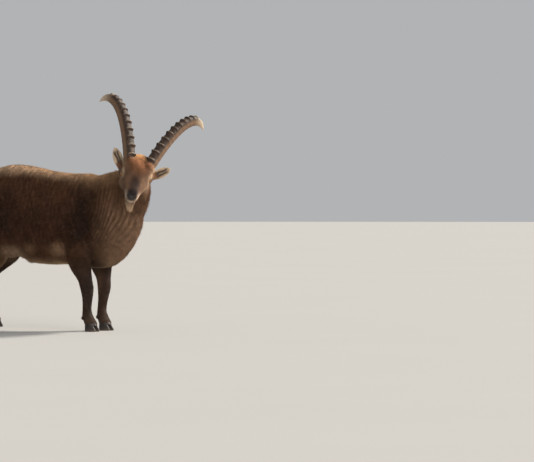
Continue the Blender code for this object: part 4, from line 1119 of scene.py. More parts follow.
    def lengths(self, points: np.ndarray) -> np.ndarray:
        """How long the hair is at each place."""
        x, y, z = points.T
        head = in_head(points)
        on_face = ramp(ahead_of_neck(points), -0.05, 0.03)
        on_legs = 1 - ramp(z, 0.34, 0.46)
        on_neck = ramp(x, 0.0, 0.12) * ramp(z, 0.45, 0.60)
        found = 0.017 + 0.009 * on_neck
        found += 0.012 * (1 - ramp(z, 0.40, 0.46)) * ramp(z, 0.34, 0.38) * (1 - ramp(x, 0.05, 0.15))
        found += (0.0090 - found) * on_legs
        muzzle = ramp(head[:, 2], 0.02, 0.12)
        crown = ramp(head[:, 1], 0.060, 0.085)
        found += (0.0078 - 0.0040 * muzzle + 0.006 * crown - found) * on_face
        found += (0.022 - found) * ramp(-x, 0.86, 0.89) * ramp(z, 0.68, 0.72)
        found += (0.042 - found) * self.on_chin(head)
        for mirror in SIDES:
            found *= 0.42 + 0.58 * ramp(self.round_eye(points, mirror)[0], 0.023, 0.036)
        return found + (0.0052 - found) * self.near_ears(points)

    def widths(self, points: np.ndarray) -> np.ndarray:
        """Half the width of a tuft at each place."""
        on_face = ramp(ahead_of_neck(points), -0.05, 0.03)
        on_legs = 1 - ramp(points[:, 2], 0.34, 0.46)
        found = 0.00105 + (0.00085 - 0.00105) * on_legs
        return found + (0.00058 - found) * on_face

    def lifts(self, points: np.ndarray, normals: np.ndarray) -> np.ndarray:
        """How far tufts stand off the skin, as the tangent of their angle."""
        x, y, z = points.T
        on_face = ramp(ahead_of_neck(points), -0.05, 0.03)
        found = 0.13 + 0.05 * ramp(x, 0.0, 0.12) * (1 - on_face)
        found += 0.22 * (1 - ramp(z, 0.38, 0.46)) * ramp(z, 0.33, 0.37) * (1 - ramp(x, 0.05, 0.15))
        found += 0.05 * ripple(points, 0.035, 31)
        out = (self.beard_way(points) * normals).sum(1)
        hang = np.clip(out / np.sqrt(np.maximum(1 - out**2, 0.01)), 0.25, 4.0)
        return found + (hang - found) * self.on_chin(in_head(points))

    def beard_way(self, points: np.ndarray) -> np.ndarray:
        """The directions from places to the spot below the chin that the beard hangs towards."""
        way = np.array(on_head(0.0, -0.095, 0.108) - UP * 0.085) - points
        return way / np.linalg.norm(way, axis=1)[:, None]

    def round_eye(self, points: np.ndarray, mirror: int) -> tuple[np.ndarray, np.ndarray, np.ndarray]:
        """How far places are from an eye's middle, and how far along and across its opening."""
        centre, _, lengthwise, upward = self.face.eye_frame(mirror)
        away = points - np.array(centre)
        return np.linalg.norm(away, axis=1), away @ np.array(lengthwise), away @ np.array(upward)

    def bareness(self, points: np.ndarray) -> np.ndarray:
        """1 on the eyes' sockets, nostrils, nose, lips, horn seats and claws, where no hair grows."""
        found = np.zeros(len(points))
        head = in_head(points)
        for mirror in SIDES:
            apart, along, upward = self.round_eye(points, mirror)
            ball = self.face.eye_radius + self.face.lid_thickness
            edge = np.hypot(along / self.face.lid_half_length, upward / self.face.lid_half_height)
            lids = (1 - ramp(apart, ball + 0.0002, ball + 0.0012)) * (1 - ramp(edge, 1.18, 1.42))
            socket = 1 - ramp(apart, self.face.eye_radius + 0.0008, self.face.eye_radius + 0.0016)
            found = np.maximum(found, np.maximum(lids, socket))
            left, dorsal, face = self.face.nostril_place
            away = np.linalg.norm((head - np.array((left * mirror, dorsal, face))) / (0.010, 0.013, 0.014), axis=1)
            found = np.maximum(found, 1 - ramp(away, 0.9, 1.1))
        pad = np.linalg.norm((head - np.array((0.0, -0.020, 0.170))) / (0.015, 0.024, 0.016), axis=1)
        found = np.maximum(found, 1 - ramp(pad, 0.9, 1.1))
        path = np.array([tuple(point) for point in self.face.mouth_path()])
        near = np.min(np.linalg.norm(head[:, None, :] - path[None, :, :], axis=2), axis=1) if len(head) < 50000 else None
        if near is None:
            near = np.full(len(head), 1.0)
            close = np.nonzero((head[:, 2] > 0.05) & (np.abs(head[:, 1] + 0.058) < 0.03))[0]
            near[close] = np.min(np.linalg.norm(head[close][:, None, :] - path[None, :, :], axis=2), axis=1)
        found = np.maximum(found, 1 - ramp(near, 0.0022, 0.0034))
        for leg in self.legs:
            for centre in leg.rear_claws():
                lower = points - np.array(centre) + np.array((0.003, 0, 0.003))
                found = np.maximum(found, 1 - ramp(np.linalg.norm(lower, axis=1), 0.010, 0.013))
            found = np.maximum(found, 1 - ramp(points[:, 2], 0.045, 0.048))
        return found

    def zones(self, centres: np.ndarray) -> np.ndarray:
        """Which zone each face is in, by its middle."""
        x, y, z = centres.T
        left = y > 0
        found = np.where(left, Zone.TRUNK_FRONT_LEFT.value, Zone.TRUNK_FRONT_RIGHT.value)
        rear = x < -0.42
        found = np.where(rear, np.where(left, Zone.TRUNK_REAR_LEFT.value, Zone.TRUNK_REAR_RIGHT.value), found)
        neck = (0.85 * (x - 0.05) + 0.53 * (z - 0.735) > 0) & (z > 0.44)
        found = np.where(neck, np.where(y > 0.02 - 0.25 * ramp(x, 0.2, 0.4), Zone.NECK_LEFT.value, Zone.NECK_RIGHT.value), found)
        low = z < 0.40
        found = np.where(low & (x > -0.3) & left, Zone.LEG_FRONT_LEFT.value, found)
        found = np.where(low & (x > -0.3) & ~left, Zone.LEG_FRONT_RIGHT.value, found)
        found = np.where(low & (x < -0.56) & left, Zone.LEG_HIND_LEFT.value, found)
        found = np.where(low & (x < -0.56) & ~left, Zone.LEG_HIND_RIGHT.value, found)
        head = in_head(centres)
        on_head = ahead_of_neck(centres) > 0
        found = np.where(on_head, np.where(head[:, 0] > 0, Zone.FACE_LEFT.value, Zone.FACE_RIGHT.value), found)
        tail = (x < -0.885) & (z > 0.69)
        found = np.where(tail, Zone.TAIL.value, found)
        for mirror in SIDES:
            t, across, out = self.ears.local(centres, mirror).T
            ear = (t > 0.06) & (t < 1.2) & (np.hypot(across, out) < 0.042)
            found = np.where(ear, Zone.EARS.value, found)
        return np.where(self.on_chin(head) > 0.5, Zone.CHIN.value, found)

    def paint(self, mesh: bpy.types.Mesh) -> None:
        """Writes markings with painted light and shade, lie, length, width, lift, cover and zone on the skin."""
        points = corners(mesh)
        normals = np.empty(len(points) * 3, np.float32)
        mesh.vertex_normals.foreach_get("vector", normals)
        normals = normals.reshape(-1, 3).astype(float)
        bare = self.bareness(points)
        colours = coat_colours(points)
        thin = np.ones(len(points))
        for mirror in SIDES:
            t, across, out = self.ears.local(points, mirror).T
            near = ramp(t, 0.0, 0.16) * (t < 1.2) * (1 - ramp(np.hypot(across, out), 0.032, 0.042))
            inner = (near > 0) & ((normals @ np.array(self.ears.frame(mirror)[3])) > 0.2)
            wander = across + 0.004 * ripple(points, 0.03, 17)
            rim = np.maximum(ramp(np.abs(wander), 0.010, 0.021), ramp(t, 0.74, 0.94))
            streak = 0.5 * (1 - ramp(np.abs(wander - 0.002), 0.0010, 0.0050)) * ramp(t, 0.3, 0.5)
            pale = np.maximum(rim, streak)[:, None]
            shade = tone(76, 56, 44)[None, :] + pale * (tone(222, 198, 168) - tone(76, 56, 44))
            base = 1 - ramp(t, 0.12, 0.42)
            shade = shade + base[:, None] * (tone(148, 104, 70)[None, :] - shade)
            shade = np.where(inner[:, None], shade, tone(168, 136, 104)[None, :])
            colours += near[:, None] * (shade - colours)
            inner = inner & (t > 0.10)
            thin[inner] = 0.30 + 0.5 * rim[inner]
        colours += bare[:, None] * (tone(30, 24, 23)[None, :] - colours) * 0.9
        # Painted shade and light of the neck's folds: darker in the troughs between them, lighter on their crests.
        colours *= (1 + 0.34 * self.folds(points))[:, None]
        store(mesh, "coat_tint", "FLOAT_COLOR", colours)
        store(mesh, "comb", "FLOAT_VECTOR", self.comb(points, normals))
        store(mesh, "hair_length", "FLOAT", self.lengths(points))
        store(mesh, "hair_width", "FLOAT", self.widths(points))
        store(mesh, "hair_lift", "FLOAT", self.lifts(points, normals))
        store(mesh, "cover", "FLOAT", thin * (1 - ramp(bare, 0.2, 0.6)))
        store(mesh, "bareness", "FLOAT", bare)
        middles = np.empty(len(mesh.polygons) * 3, np.float32)
        mesh.polygons.foreach_get("center", middles)
        layer = mesh.attributes.new("zone", "INT", "FACE")
        layer.data.foreach_set("value", self.zones(middles.reshape(-1, 3).astype(float)).astype(np.int32))

    def make(self) -> bpy.types.Object:
        """Makes the skin, without its finish."""
        mesh = self.fused()
        self.sunk(mesh)
        mesh = self.thinned(mesh)
        mesh = self.carved(mesh)
        mesh.materials.clear()
        self.paint(mesh)
        mesh.polygons.foreach_set("use_smooth", np.ones(len(mesh.polygons), bool))
        mesh.set_sharp_from_angle(angle=math.radians(42))
        return link("skin", settled(mesh))


# Finishes.


class Value:
    """The output of a shader node, which sums are written with."""

    def __init__(self, tree: "Finish", socket: bpy.types.NodeSocket) -> None:
        """Holds a socket.

        Args:
            tree: The finish that it belongs to.
            socket: The node's output.
        """
        self.tree = tree
        self.socket = socket

    def _sum(self, operation: str, *terms: Any) -> "Value":
        """One Math node on these terms."""
        return self.tree.node("ShaderNodeMath", {"operation": operation}, dict(enumerate(terms)))

    def __add__(self, other: Any) -> "Value":
        """Sum."""
        return self._sum("ADD", self, other)

    __radd__ = __add__

    def __sub__(self, other: Any) -> "Value":
        """Difference."""
        return self._sum("SUBTRACT", self, other)

    def __rsub__(self, other: Any) -> "Value":
        """Difference from a number."""
        return self._sum("SUBTRACT", other, self)

    def __mul__(self, other: Any) -> "Value":
        """Product."""
        return self._sum("MULTIPLY", self, other)

    __rmul__ = __mul__

    def __truediv__(self, other: Any) -> "Value":
        """Quotient."""
        return self._sum("DIVIDE", self, other)

    def __pow__(self, other: Any) -> "Value":
        """Power."""
        return self._sum("POWER", self, other)

    def size(self) -> "Value":
        """Without its sign."""
        return self._sum("ABSOLUTE", self)

    def sine(self) -> "Value":
        """Its sine."""
        return self._sum("SINE", self)

    def least(self, other: Any) -> "Value":
        """The lesser of two."""
        return self._sum("MINIMUM", self, other)

    def most(self, other: Any) -> "Value":
        """The greater of two."""
        return self._sum("MAXIMUM", self, other)

    def ramp(self, low: float, high: float) -> "Value":
        """0 up to low and 1 from high on, smoothly."""
        settings = {"interpolation_type": "SMOOTHSTEP"}
        return self.tree.node("ShaderNodeMapRange", settings, {0: self, 1: low, 2: high})


class Finish:
    """A material that is put together from nodes."""

    def __init__(self, name: str, **constants: Any) -> None:
        """Starts a material.

        Args:
            name: Its name.
            constants: Numbers and colours of the shader that are the same all over.
        """
        self.material = bpy.data.materials.new(name)
        self.material.use_nodes = True
        self.nodes = self.material.node_tree.nodes
        self.links = self.material.node_tree.links
        self.shader = self.nodes["Principled BSDF"]
        for socket, value in constants.items():
            self.shader.inputs[socket.replace("_", " ")].default_value = value

    def node(
        self, kind: str, settings: dict[str, Any] | None = None, inputs: dict[Any, Any] | None = None, out: Any = 0
    ) -> Value:
        """Adds any node.

        Args:
            kind: The node's type.
            settings: Its settings, and stops for a ramp's colours.
            inputs: Values or links of its sockets, by place or name.
            out: Which output is returned.

        Returns:
            The output.
        """
        made = self.nodes.new(kind)
        for name, value in (settings or {}).items():
            if name == "stops":
                for k, (place, colour) in enumerate(value):
                    stop = made.color_ramp.elements[k] if k < 2 else made.color_ramp.elements.new(place)
                    stop.position, stop.color = place, (*colour, 1.0)
            else:
                setattr(made, name, value)
        for socket, value in (inputs or {}).items():
            self.feed(made.inputs[socket], value)
        return Value(self, made.outputs[out])

    def feed(self, socket: bpy.types.NodeSocket, value: Any) -> None:
        """Links a value to a socket, or sets it there."""
        if isinstance(value, Value):
            self.links.new(value.socket, socket)
        elif isinstance(value, (tuple, list, np.ndarray)) and len(value) == 3 and len(socket.default_value) == 4:
            socket.default_value = (*value, 1.0)
        else:
            socket.default_value = value

    def mix(self, share: Any, first: Any, second: Any, blend: str = "MIX") -> Value:
        """Two colours mixed by a share."""
        settings = {"data_type": "RGBA", "blend_type": blend, "clamp_factor": True}
        return self.node("ShaderNodeMix", settings, {0: share, 6: first, 7: second}, 2)

    def attribute(self, name: str, out: str = "Fac") -> Value:
        """An attribute of the piece."""
        return self.node("ShaderNodeAttribute", {"attribute_name": name}, {}, out)

    def place(self) -> Value:
        """The piece's own coordinates."""
        return self.node("ShaderNodeTexCoord", {}, {}, "Object")

    def stretched(self, scale: Row, vector: Value | None = None) -> Value:
        """Coordinates scaled along each direction."""
        inputs = {0: vector or self.place(), 1: scale}
        return self.node("ShaderNodeVectorMath", {"operation": "MULTIPLY"}, inputs)

    def noise(self, scale: float, detail: float = 3.0, vector: Value | None = None) -> Value:
        """Cloudy values from 0 to 1."""
        inputs = {"Vector": vector or self.place(), "Scale": scale, "Detail": detail}
        return self.node("ShaderNodeTexNoise", {}, inputs, "Fac")

    def bump(self, height: Value, depth: float, strength: float = 1.0) -> None:
        """Feeds the shader's normal with a bump."""
        inputs = {"Height": height, "Distance": depth, "Strength": strength}
        self.feed(self.shader.inputs["Normal"], self.node("ShaderNodeBump", {}, inputs))

    def colour(self, value: Any) -> None:
        """Feeds the base colour."""
        self.feed(self.shader.inputs["Base Color"], value)

    def rough(self, value: Any) -> None:
        """Feeds the roughness."""
        self.feed(self.shader.inputs["Roughness"], value)


@dataclass(frozen=True)
class SkinFinish:
    """Hide with a close underfur, bare and darker round nose, lips, lids and claws."""

    furred: float = 0.85
    bare: float = 0.42
    shade: float = 0.55

    def make(self) -> bpy.types.Material:
        """The material."""
        finish = Finish("hide")
        bare = finish.attribute("bareness").ramp(0.3, 0.9)
        tint_and_light = finish.attribute("coat_tint", "Color")
        fine = finish.noise(420.0, 4.0)
        under = finish.mix(1.0, tint_and_light, finish.node(
            "ShaderNodeValToRGB",
            {"stops": ((0.3, (self.shade - 0.15,) * 3), (0.7, (self.shade + 0.2,) * 3))},
            {0: fine}), "MULTIPLY")
        finish.colour(finish.mix(bare, under, tint_and_light))
        finish.rough(self.furred + bare * (self.bare - self.furred) + (fine - 0.5) * 0.12)
        cells = finish.node("ShaderNodeTexVoronoi", {}, {"Vector": finish.place(), "Scale": 520.0}, "Distance")
        finish.bump(fine * (1 - bare) + cells * bare, 0.0012, 0.6)
        return finish.material


@dataclass(frozen=True)
class CoatFinish:
    """Coarse hair: darker at the root, paler at the tip, each tuft a little different."""

    root_shade: float = 0.74
    tip_shade: float = 1.18
    vary: float = 0.42

    def make(self) -> bpy.types.Material:
        """The material."""
        finish = Finish("coat", Specular_IOR_Level=0.10)
        tint_and_light = finish.attribute("coat_tint", "Color")
        reach = finish.attribute("tuft_reach")
        luck = finish.attribute("tuft_tone")
        clouds = finish.noise(38.0, 3.0)
        shade = self.root_shade + reach.ramp(0.0, 0.9) * (self.tip_shade - self.root_shade)
        shade = shade * (1 - 0.5 * self.vary + luck * self.vary) * (0.80 + clouds * 0.40)
        grey = finish.node("ShaderNodeCombineColor", {}, {0: shade, 1: shade, 2: shade})
        warm = finish.mix(luck.ramp(0.8, 1.0) * 0.18, finish.mix(1.0, tint_and_light, grey, "MULTIPLY"), tone(172, 132, 94))
        finish.colour(warm)
        strands = finish.noise(900.0, 2.0)
        finish.rough(0.62 + strands * 0.25)
        finish.bump(strands, 0.0006, 0.5)
        return finish.material


@dataclass(frozen=True)
class HornFinish:
    """Ridged horn: dark on the ridged front, greyer on the sides, pale and worn at the tip and the knobs."""

    dark: Row = (48, 35, 27)
    side: Row = (116, 89, 67)
    worn: Row = (208, 188, 162)

    def make(self) -> bpy.types.Material:
        """The material."""
        finish = Finish("horn", Specular_IOR_Level=0.30)
        along = finish.attribute("horn_along")
        front = finish.attribute("horn_front")
        knob = finish.attribute("horn_knob")
        rings = (along * 620.0 + finish.noise(18.0, 2.0) * 5.0).sine()
        streak = finish.noise(60.0, 4.0, finish.stretched((1.0, 1.0, 0.25)))
        base = finish.mix((front + (streak - 0.5) * 0.7).ramp(-0.1, 0.85), tone(*self.side), tone(*self.dark))
        base = finish.mix(streak.ramp(0.45, 0.8) * 0.4, base, tone(*self.side))
        base = finish.mix(knob.ramp(0.60, 1.0) * (0.08 + streak * 0.30), base, tone(*self.worn))
        base = finish.mix(((rings + 1) * 0.5).ramp(0.6, 1.0) * 0.10, base, tone(34, 26, 22))
        base = finish.mix(along.ramp(0.74, 0.97) * 0.85, base, tone(*self.worn))
        finish.colour(base)
        grain = finish.noise(340.0, 5.0)
        finish.rough(0.52 + grain * 0.28 + knob * 0.05)
        finish.bump(rings * 0.18 + grain * 1.2 + streak * 1.6, 0.0016, 0.55)
        return finish.material


@dataclass(frozen=True)
class HoofFinish:
    """Hoof horn: slate grey with growth lines and dusty lower edges."""

    dark: Row = (44, 38, 36)
    dusty: Row = (104, 90, 78)

    def make(self) -> bpy.types.Material:
        """The material."""
        finish = Finish("hoof", Specular_IOR_Level=0.4)
        height = finish.node("ShaderNodeSeparateXYZ", {}, {0: finish.place()}, 2)
        grain = finish.noise(120.0, 5.0, finish.stretched((1.0, 1.0, 3.0)))
        base = finish.mix(grain.ramp(0.35, 0.75) * 0.6, tone(*self.dark), tone(70, 60, 54))
        finish.colour(finish.mix((1 - height.ramp(0.0, 0.016)) * 0.7, base, tone(*self.dusty)))
        lines = (height * 1900.0 + grain * 4.0).sine()
        finish.rough(0.42 + grain * 0.28)
        finish.bump(lines * 0.35 + grain, 0.0011, 0.5)
        return finish.material


@dataclass(frozen=True)
class EyeFinish:
    """A wet amber eye with a level, bar-shaped pupil."""

    iris: Row = (206, 138, 62)
    rim: Row = (118, 68, 28)
    pupil_length: float = 0.0062
    pupil_height: float = 0.0023
    iris_radius: float = 0.0128

    def make(self) -> bpy.types.Material:
        """The material."""
        finish = Finish("eye", Coat_Weight=0.45, Coat_Roughness=0.03, Specular_IOR_Level=0.4)
        gaze = finish.attribute("gaze", "Vector")
        split = finish.node("ShaderNodeSeparateXYZ", {}, {0: gaze})
        along = split
        up = Value(finish, split.socket.node.outputs[1])
        away = (along * along + up * up) ** 0.5
        circle = finish.node("ShaderNodeCombineXYZ", {}, {0: along / away, 1: up / away, 2: away * 40.0})
        spokes = finish.noise(9.0, 3.0, circle)
        base = finish.mix(spokes.ramp(0.3, 0.75), tone(*self.rim), tone(*self.iris))
        base = finish.mix(away.ramp(0.55 * self.iris_radius, self.iris_radius) * 0.75, base, tone(*self.rim))
        base = finish.mix(away.ramp(0.97 * self.iris_radius, 1.06 * self.iris_radius), base, tone(22, 16, 13))
        bar = ((along / self.pupil_length).size() ** 3.0 + (up / self.pupil_height).size() ** 3.0)
        finish.colour(finish.mix(1 - bar.ramp(0.8, 1.25), base, tone(5, 5, 7)))
        finish.rough(0.18 + spokes * 0.10)
        return finish.material


@dataclass(frozen=True)
class FloorFinish:
    """A plain pale floor."""

    pale: Row = (150, 149, 147)

    def make(self) -> bpy.types.Material:
        """The material."""
        finish = Finish("floor", Specular_IOR_Level=0.2)
        clouds = finish.noise(0.7, 2.0)
        finish.colour(finish.mix(clouds * 0.3, tone(*self.pale), tone(141, 140, 138)))
        finish.rough(0.86 + clouds * 0.06)
        return finish.material


# The coat.


class Sort(Enum):
    """Which form a coat piece is made of."""

    HAIR = "hair"
    LOCK = "lock"


@dataclass(frozen=True)
class Tuft:
    """The form of one tuft: rings of place along, half width and height, then a tip."""

    rings: Sequence[Row]
    tip: Row = (1.0, 0.0)

    def mesh(self, name: str) -> bpy.types.Mesh:
        """A closed, bent, three-sided blade that lies along +X."""
        bm = bmesh.new()
        rows = []
        for along, wide, high in self.rings:
            edge = high - 0.55 * wide
            rows.append([bm.verts.new((along, y, z)) for y, z in ((-wide, edge), (wide, edge), (0.0, high))])
        tip = bm.verts.new((self.tip[0], 0.0, self.tip[1]))
        bm.faces.new(rows[0][::-1])
        for low, high in zip(rows, rows[1:]):
            for k in range(3):
                after = (k + 1) % 3
                bm.faces.new((low[k], low[after], high[after], high[k]))
        for k in range(3):
            bm.faces.new((rows[-1][k], rows[-1][(k + 1) % 3], tip))
        bmesh.ops.recalc_face_normals(bm, faces=bm.faces)
        made = bpy.data.meshes.new(name)
        bm.to_mesh(made)
        bm.free()
        places = corners(made)
        store(made, "tuft_reach", "FLOAT", np.clip(places[:, 0], 0, 1))
        store(made, "tuft_side", "FLOAT", places[:, 1])
        return made


TUFTS = {
    Sort.HAIR: Tuft(((-0.10, 1.0, 0.3),), (1.0, 0.0)),
    Sort.LOCK: Tuft(((-0.06, 0.80, 0.0), (0.28, 1.0, 0.9), (0.58, 0.80, 1.3), (0.82, 0.48, 1.0)), (1.0, 0.2)),
}


@dataclass(frozen=True)
class Patch:
    """One coat piece: its zone, the gap between its tufts, and how it differs from the skin's values."""

    zone: Zone
    gap: float
    slot: str
    sort: Sort = Sort.HAIR
    longer: float = 1.0
    wider: float = 1.0
    unruly: float = 0.22


PATCHES = (
    Patch(Zone.TRUNK_FRONT_RIGHT, 0.00205, "torso"),
    Patch(Zone.TRUNK_FRONT_LEFT, 0.00205, "torso"),
    Patch(Zone.TRUNK_REAR_RIGHT, 0.00205, "torso"),
    Patch(Zone.TRUNK_REAR_LEFT, 0.00205, "torso"),
    Patch(Zone.NECK_RIGHT, 0.0018, "neck"),
    Patch(Zone.NECK_LEFT, 0.0018, "neck"),
    Patch(Zone.LEG_FRONT_RIGHT, 0.0018, "leg_front_right"),
    Patch(Zone.LEG_FRONT_LEFT, 0.0018, "leg_front_left"),
    Patch(Zone.LEG_HIND_RIGHT, 0.0018, "leg_hind_right"),
    Patch(Zone.LEG_HIND_LEFT, 0.0018, "leg_hind_left"),
    Patch(Zone.FACE_RIGHT, 0.00120, "head"),
    Patch(Zone.FACE_LEFT, 0.00120, "head"),
    Patch(Zone.EARS, 0.0014, "ear_right"),
    Patch(Zone.CHIN, 0.0014, "head", Sort.LOCK, 1.0, 1.3, 0.12),
    Patch(Zone.TAIL, 0.0026, "tail", Sort.LOCK, 1.5, 0.8),
)


class Fields:
    """A Geometry Nodes tree that is being put together."""

    def __init__(self, name: str) -> None:
        """Starts a tree with geometry in and out."""
        self.tree = bpy.data.node_groups.new(name, "GeometryNodeTree")
        self.ports: dict[str, str] = {}
        self.add_port("Geometry", "NodeSocketGeometry")
        self.tree.interface.new_socket("Geometry", in_out="OUTPUT", socket_type="NodeSocketGeometry")
        self.start = self.tree.nodes.new("NodeGroupInput")
        self.end = self.tree.nodes.new("NodeGroupOutput")

    def add_port(self, name: str, kind: str) -> None:
        """Adds a named input."""
        self.ports[name] = self.tree.interface.new_socket(name, in_out="INPUT", socket_type=kind).identifier

    def port(self, name: str) -> bpy.types.NodeSocket:
        """A named input's value inside the tree."""
        return self.start.outputs[name]

    def node(
        self, kind: str, settings: dict[str, Any] | None = None, inputs: dict[Any, Any] | None = None, out: Any = 0
    ) -> bpy.types.NodeSocket:
        """Adds any node and returns one of its outputs.

        Args:
            kind: The node's type.
            settings: Its settings.
            inputs: Values or links of its sockets, by place or name.
            out: Which output is returned.
        """
        made = self.tree.nodes.new(kind)
        for name, value in (settings or {}).items():
            setattr(made, name, value)
        for socket, value in (inputs or {}).items():
            if isinstance(value, bpy.types.NodeSocket):
                self.tree.links.new(value, made.inputs[socket])
            else:
                made.inputs[socket].default_value = value
        return made.outputs[out]

    def named(self, name: str, kind: str = "FLOAT") -> bpy.types.NodeSocket:
        """An attribute's value."""
        return self.node("GeometryNodeInputNamedAttribute", {"data_type": kind}, {"Name": name})

    def chance(self, low: float, high: float, salt: int) -> bpy.types.NodeSocket:
        """A random number for each point."""
        seed = self.node("ShaderNodeMath", {"operation": "ADD"}, {0: self.port("Seed"), 1: float(salt)})
        inputs = {2: low, 3: high, "Seed": seed}
        return self.node("FunctionNodeRandomValue", {"data_type": "FLOAT"}, inputs, 1)

    def times(self, first: Any, second: Any) -> bpy.types.NodeSocket:
        """A product of numbers."""
        return self.node("ShaderNodeMath", {"operation": "MULTIPLY"}, {0: first, 1: second})

    def vector(self, operation: str, first: Any, second: Any) -> bpy.types.NodeSocket:
        """A sum on vectors."""
        return self.node("ShaderNodeVectorMath", {"operation": operation}, {0: first, 1: second})

    def scaled(self, first: Any, share: Any) -> bpy.types.NodeSocket:
        """A vector times a number."""
        return self.node("ShaderNodeVectorMath", {"operation": "SCALE"}, {0: first, "Scale": share})


@dataclass
class Coat:
    """The hair, laid over the skin in tufts."""

    skin: bpy.types.Object
    finish: bpy.types.Material
    patch_size: float = 0.003
    made: int = 0

    def tree(self) -> Fields:
        """The tree that sets tufts on one zone of the skin, along the lie of the coat."""
        fields = Fields("lay_tufts")
        for name, kind in (
            ("Zone", "NodeSocketInt"),
            ("Gap", "NodeSocketFloat"),
            ("Seed", "NodeSocketInt"),
            ("Longer", "NodeSocketFloat"),
            ("Wider", "NodeSocketFloat"),
            ("Unruly", "NodeSocketFloat"),
            ("Form", "NodeSocketObject"),
            ("Finish", "NodeSocketMaterial"),
        ):
            fields.add_port(name, kind)
        same = fields.node(
            "FunctionNodeCompare",
            {"data_type": "INT", "operation": "EQUAL"},
            {2: fields.named("zone", "INT"), 3: fields.port("Zone")},
        )
        part = fields.node(
            "GeometryNodeSeparateGeometry", {"domain": "FACE"}, {0: fields.port("Geometry"), 1: same}
        )
        area = fields.times(fields.port("Gap"), fields.port("Gap"))
        most = fields.node("ShaderNodeMath", {"operation": "DIVIDE"}, {0: 2.6, 1: area})
        scatter = fields.node(
            "GeometryNodeDistributePointsOnFaces",
            {"distribute_method": "POISSON"},
            {
                "Mesh": part,
                "Distance Min": fields.port("Gap"),
                "Density Max": most,
                "Density Factor": fields.named("cover"),
                "Seed": fields.port("Seed"),
            },
        ).node
        stray = fields.node(
            "FunctionNodeRandomValue",
            {"data_type": "FLOAT_VECTOR"},
            {0: (-1.0, -1.0, -1.0), 1: (1.0, 1.0, 1.0), "Seed": fields.port("Seed")},
        )
        lie = fields.vector("ADD", fields.named("comb", "FLOAT_VECTOR"), fields.scaled(stray, fields.port("Unruly")))
        lift = fields.times(fields.named("hair_lift"), fields.chance(0.55, 1.5, 7))
        normal = scatter.outputs["Normal"]
        along = fields.vector("ADD", lie, fields.scaled(normal, lift))
        turn = fields.node(
            "FunctionNodeAxesToRotation",
            {"primary_axis": "X", "secondary_axis": "Z"},
            {0: along, 1: normal},
        )
        length = fields.times(fields.times(fields.named("hair_length"), fields.port("Longer")), fields.chance(0.7, 1.2, 3))
        width = fields.times(fields.times(fields.named("hair_width"), fields.port("Wider")), fields.chance(0.75, 1.25, 5))
        scale = fields.node("ShaderNodeCombineXYZ", {}, {0: length, 1: width, 2: width})
        points = scatter.outputs["Points"]
        for name, kind, value in (
            ("tuft_root", "FLOAT_VECTOR", fields.node("GeometryNodeInputPosition")),
            ("tuft_tone", "FLOAT", fields.chance(0.0, 1.0, 9)),
        ):
            inputs = {"Geometry": points, "Name": name, "Value": value}
            points = fields.node("GeometryNodeStoreNamedAttribute", {"data_type": kind, "domain": "POINT"}, inputs)
        form = fields.node("GeometryNodeObjectInfo", {}, {"Object": fields.port("Form")}, "Geometry")
        laid = fields.node(
            "GeometryNodeInstanceOnPoints", {}, {"Points": points, "Instance": form, "Rotation": turn, "Scale": scale}
        )
        whole = fields.node("GeometryNodeRealizeInstances", {}, {0: laid})
        dressed = fields.node("GeometryNodeSetMaterial", {}, {"Geometry": whole, "Material": fields.port("Finish")})
        fields.tree.links.new(dressed, fields.end.inputs[0])
        return fields

    def spread(self, roots: np.ndarray, zone: Zone) -> np.ndarray:
        """Unwraps roots: round and along the part of the body that they grow on.

        Args:
            roots: Places of the roots, in the animal's frame.
            zone: The part.

        Returns:
            A place from 0 to 1 each way for each root.
        """
        x, y, z = roots.T
        if zone in (Zone.FACE_LEFT, Zone.FACE_RIGHT, Zone.CHIN):
            head = in_head(roots)
            round_it, along = np.arctan2(head[:, 0], head[:, 1] + 0.02), head[:, 2]
            round_it = round_it + 0.0 * along
        elif zone is Zone.EARS:
            left = EarShape().local(roots, 1)
            right = EarShape().local(roots, -1)
            on_left = np.abs(left[:, 0] - 0.5) < np.abs(right[:, 0] - 0.5)
            on_left = y > np.median(y)
            ear = np.where(on_left[:, None], left, right)
            round_it = np.arctan2(ear[:, 1], ear[:, 2]) + 8.0 * on_left
            along = ear[:, 0]
        elif zone.name.startswith("LEG"):
            leg = next(leg for leg in LEGS if leg.name == zone.name[4:].lower())
            rows = np.array([row[:3] for row in leg.rows()])[::-1]
            middle_x, middle_y = (np.interp(z, rows[:, 2], rows[:, k]) for k in (0, 1))
            round_it, along = np.arctan2(y - middle_y, x - middle_x), z
        elif zone.name.startswith("NECK"):
            round_it, along = np.arctan2(z - 0.68 - 0.35 * (x - 0.10), (y + 0.3 * np.maximum(x - 0.25, 0.0))), x
            along = 0.85 * x + 0.53 * z
        else:
            round_it, along = np.arctan2(y, z - 0.63), x
        found = np.column_stack([round_it, along])
        low, high = found.min(0), found.max(0)
        return 0.004 + 0.992 * (found - low) / (high - low)

    def wrap(self, mesh: bpy.types.Mesh, zone: Zone) -> None:
        """Gives each tuft a small patch of the OFBake UV map, at its root's place."""
        count = len(mesh.vertices)
        roots = np.empty(count * 3, np.float32)
        mesh.attributes["tuft_root"].data.foreach_get("vector", roots)
        roots = roots.reshape(-1, 3) + np.array(FOOTPRINT_MIDDLE)
        local = []
        for name in ("tuft_reach", "tuft_side"):
            values = np.empty(count, np.float32)
            mesh.attributes[name].data.foreach_get("value", values)
            local.append(values)
        places = self.spread(roots, zone)
        places += self.patch_size * np.column_stack([0.5 * local[1], local[0] - 0.5])
        index = np.empty(len(mesh.loops), np.int32)
        mesh.loops.foreach_get("vertex_index", index)
        layer = mesh.uv_layers.new(name="OFBake", do_init=False)
        layer.uv.foreach_set("vector", places[index].astype(np.float32).ravel())

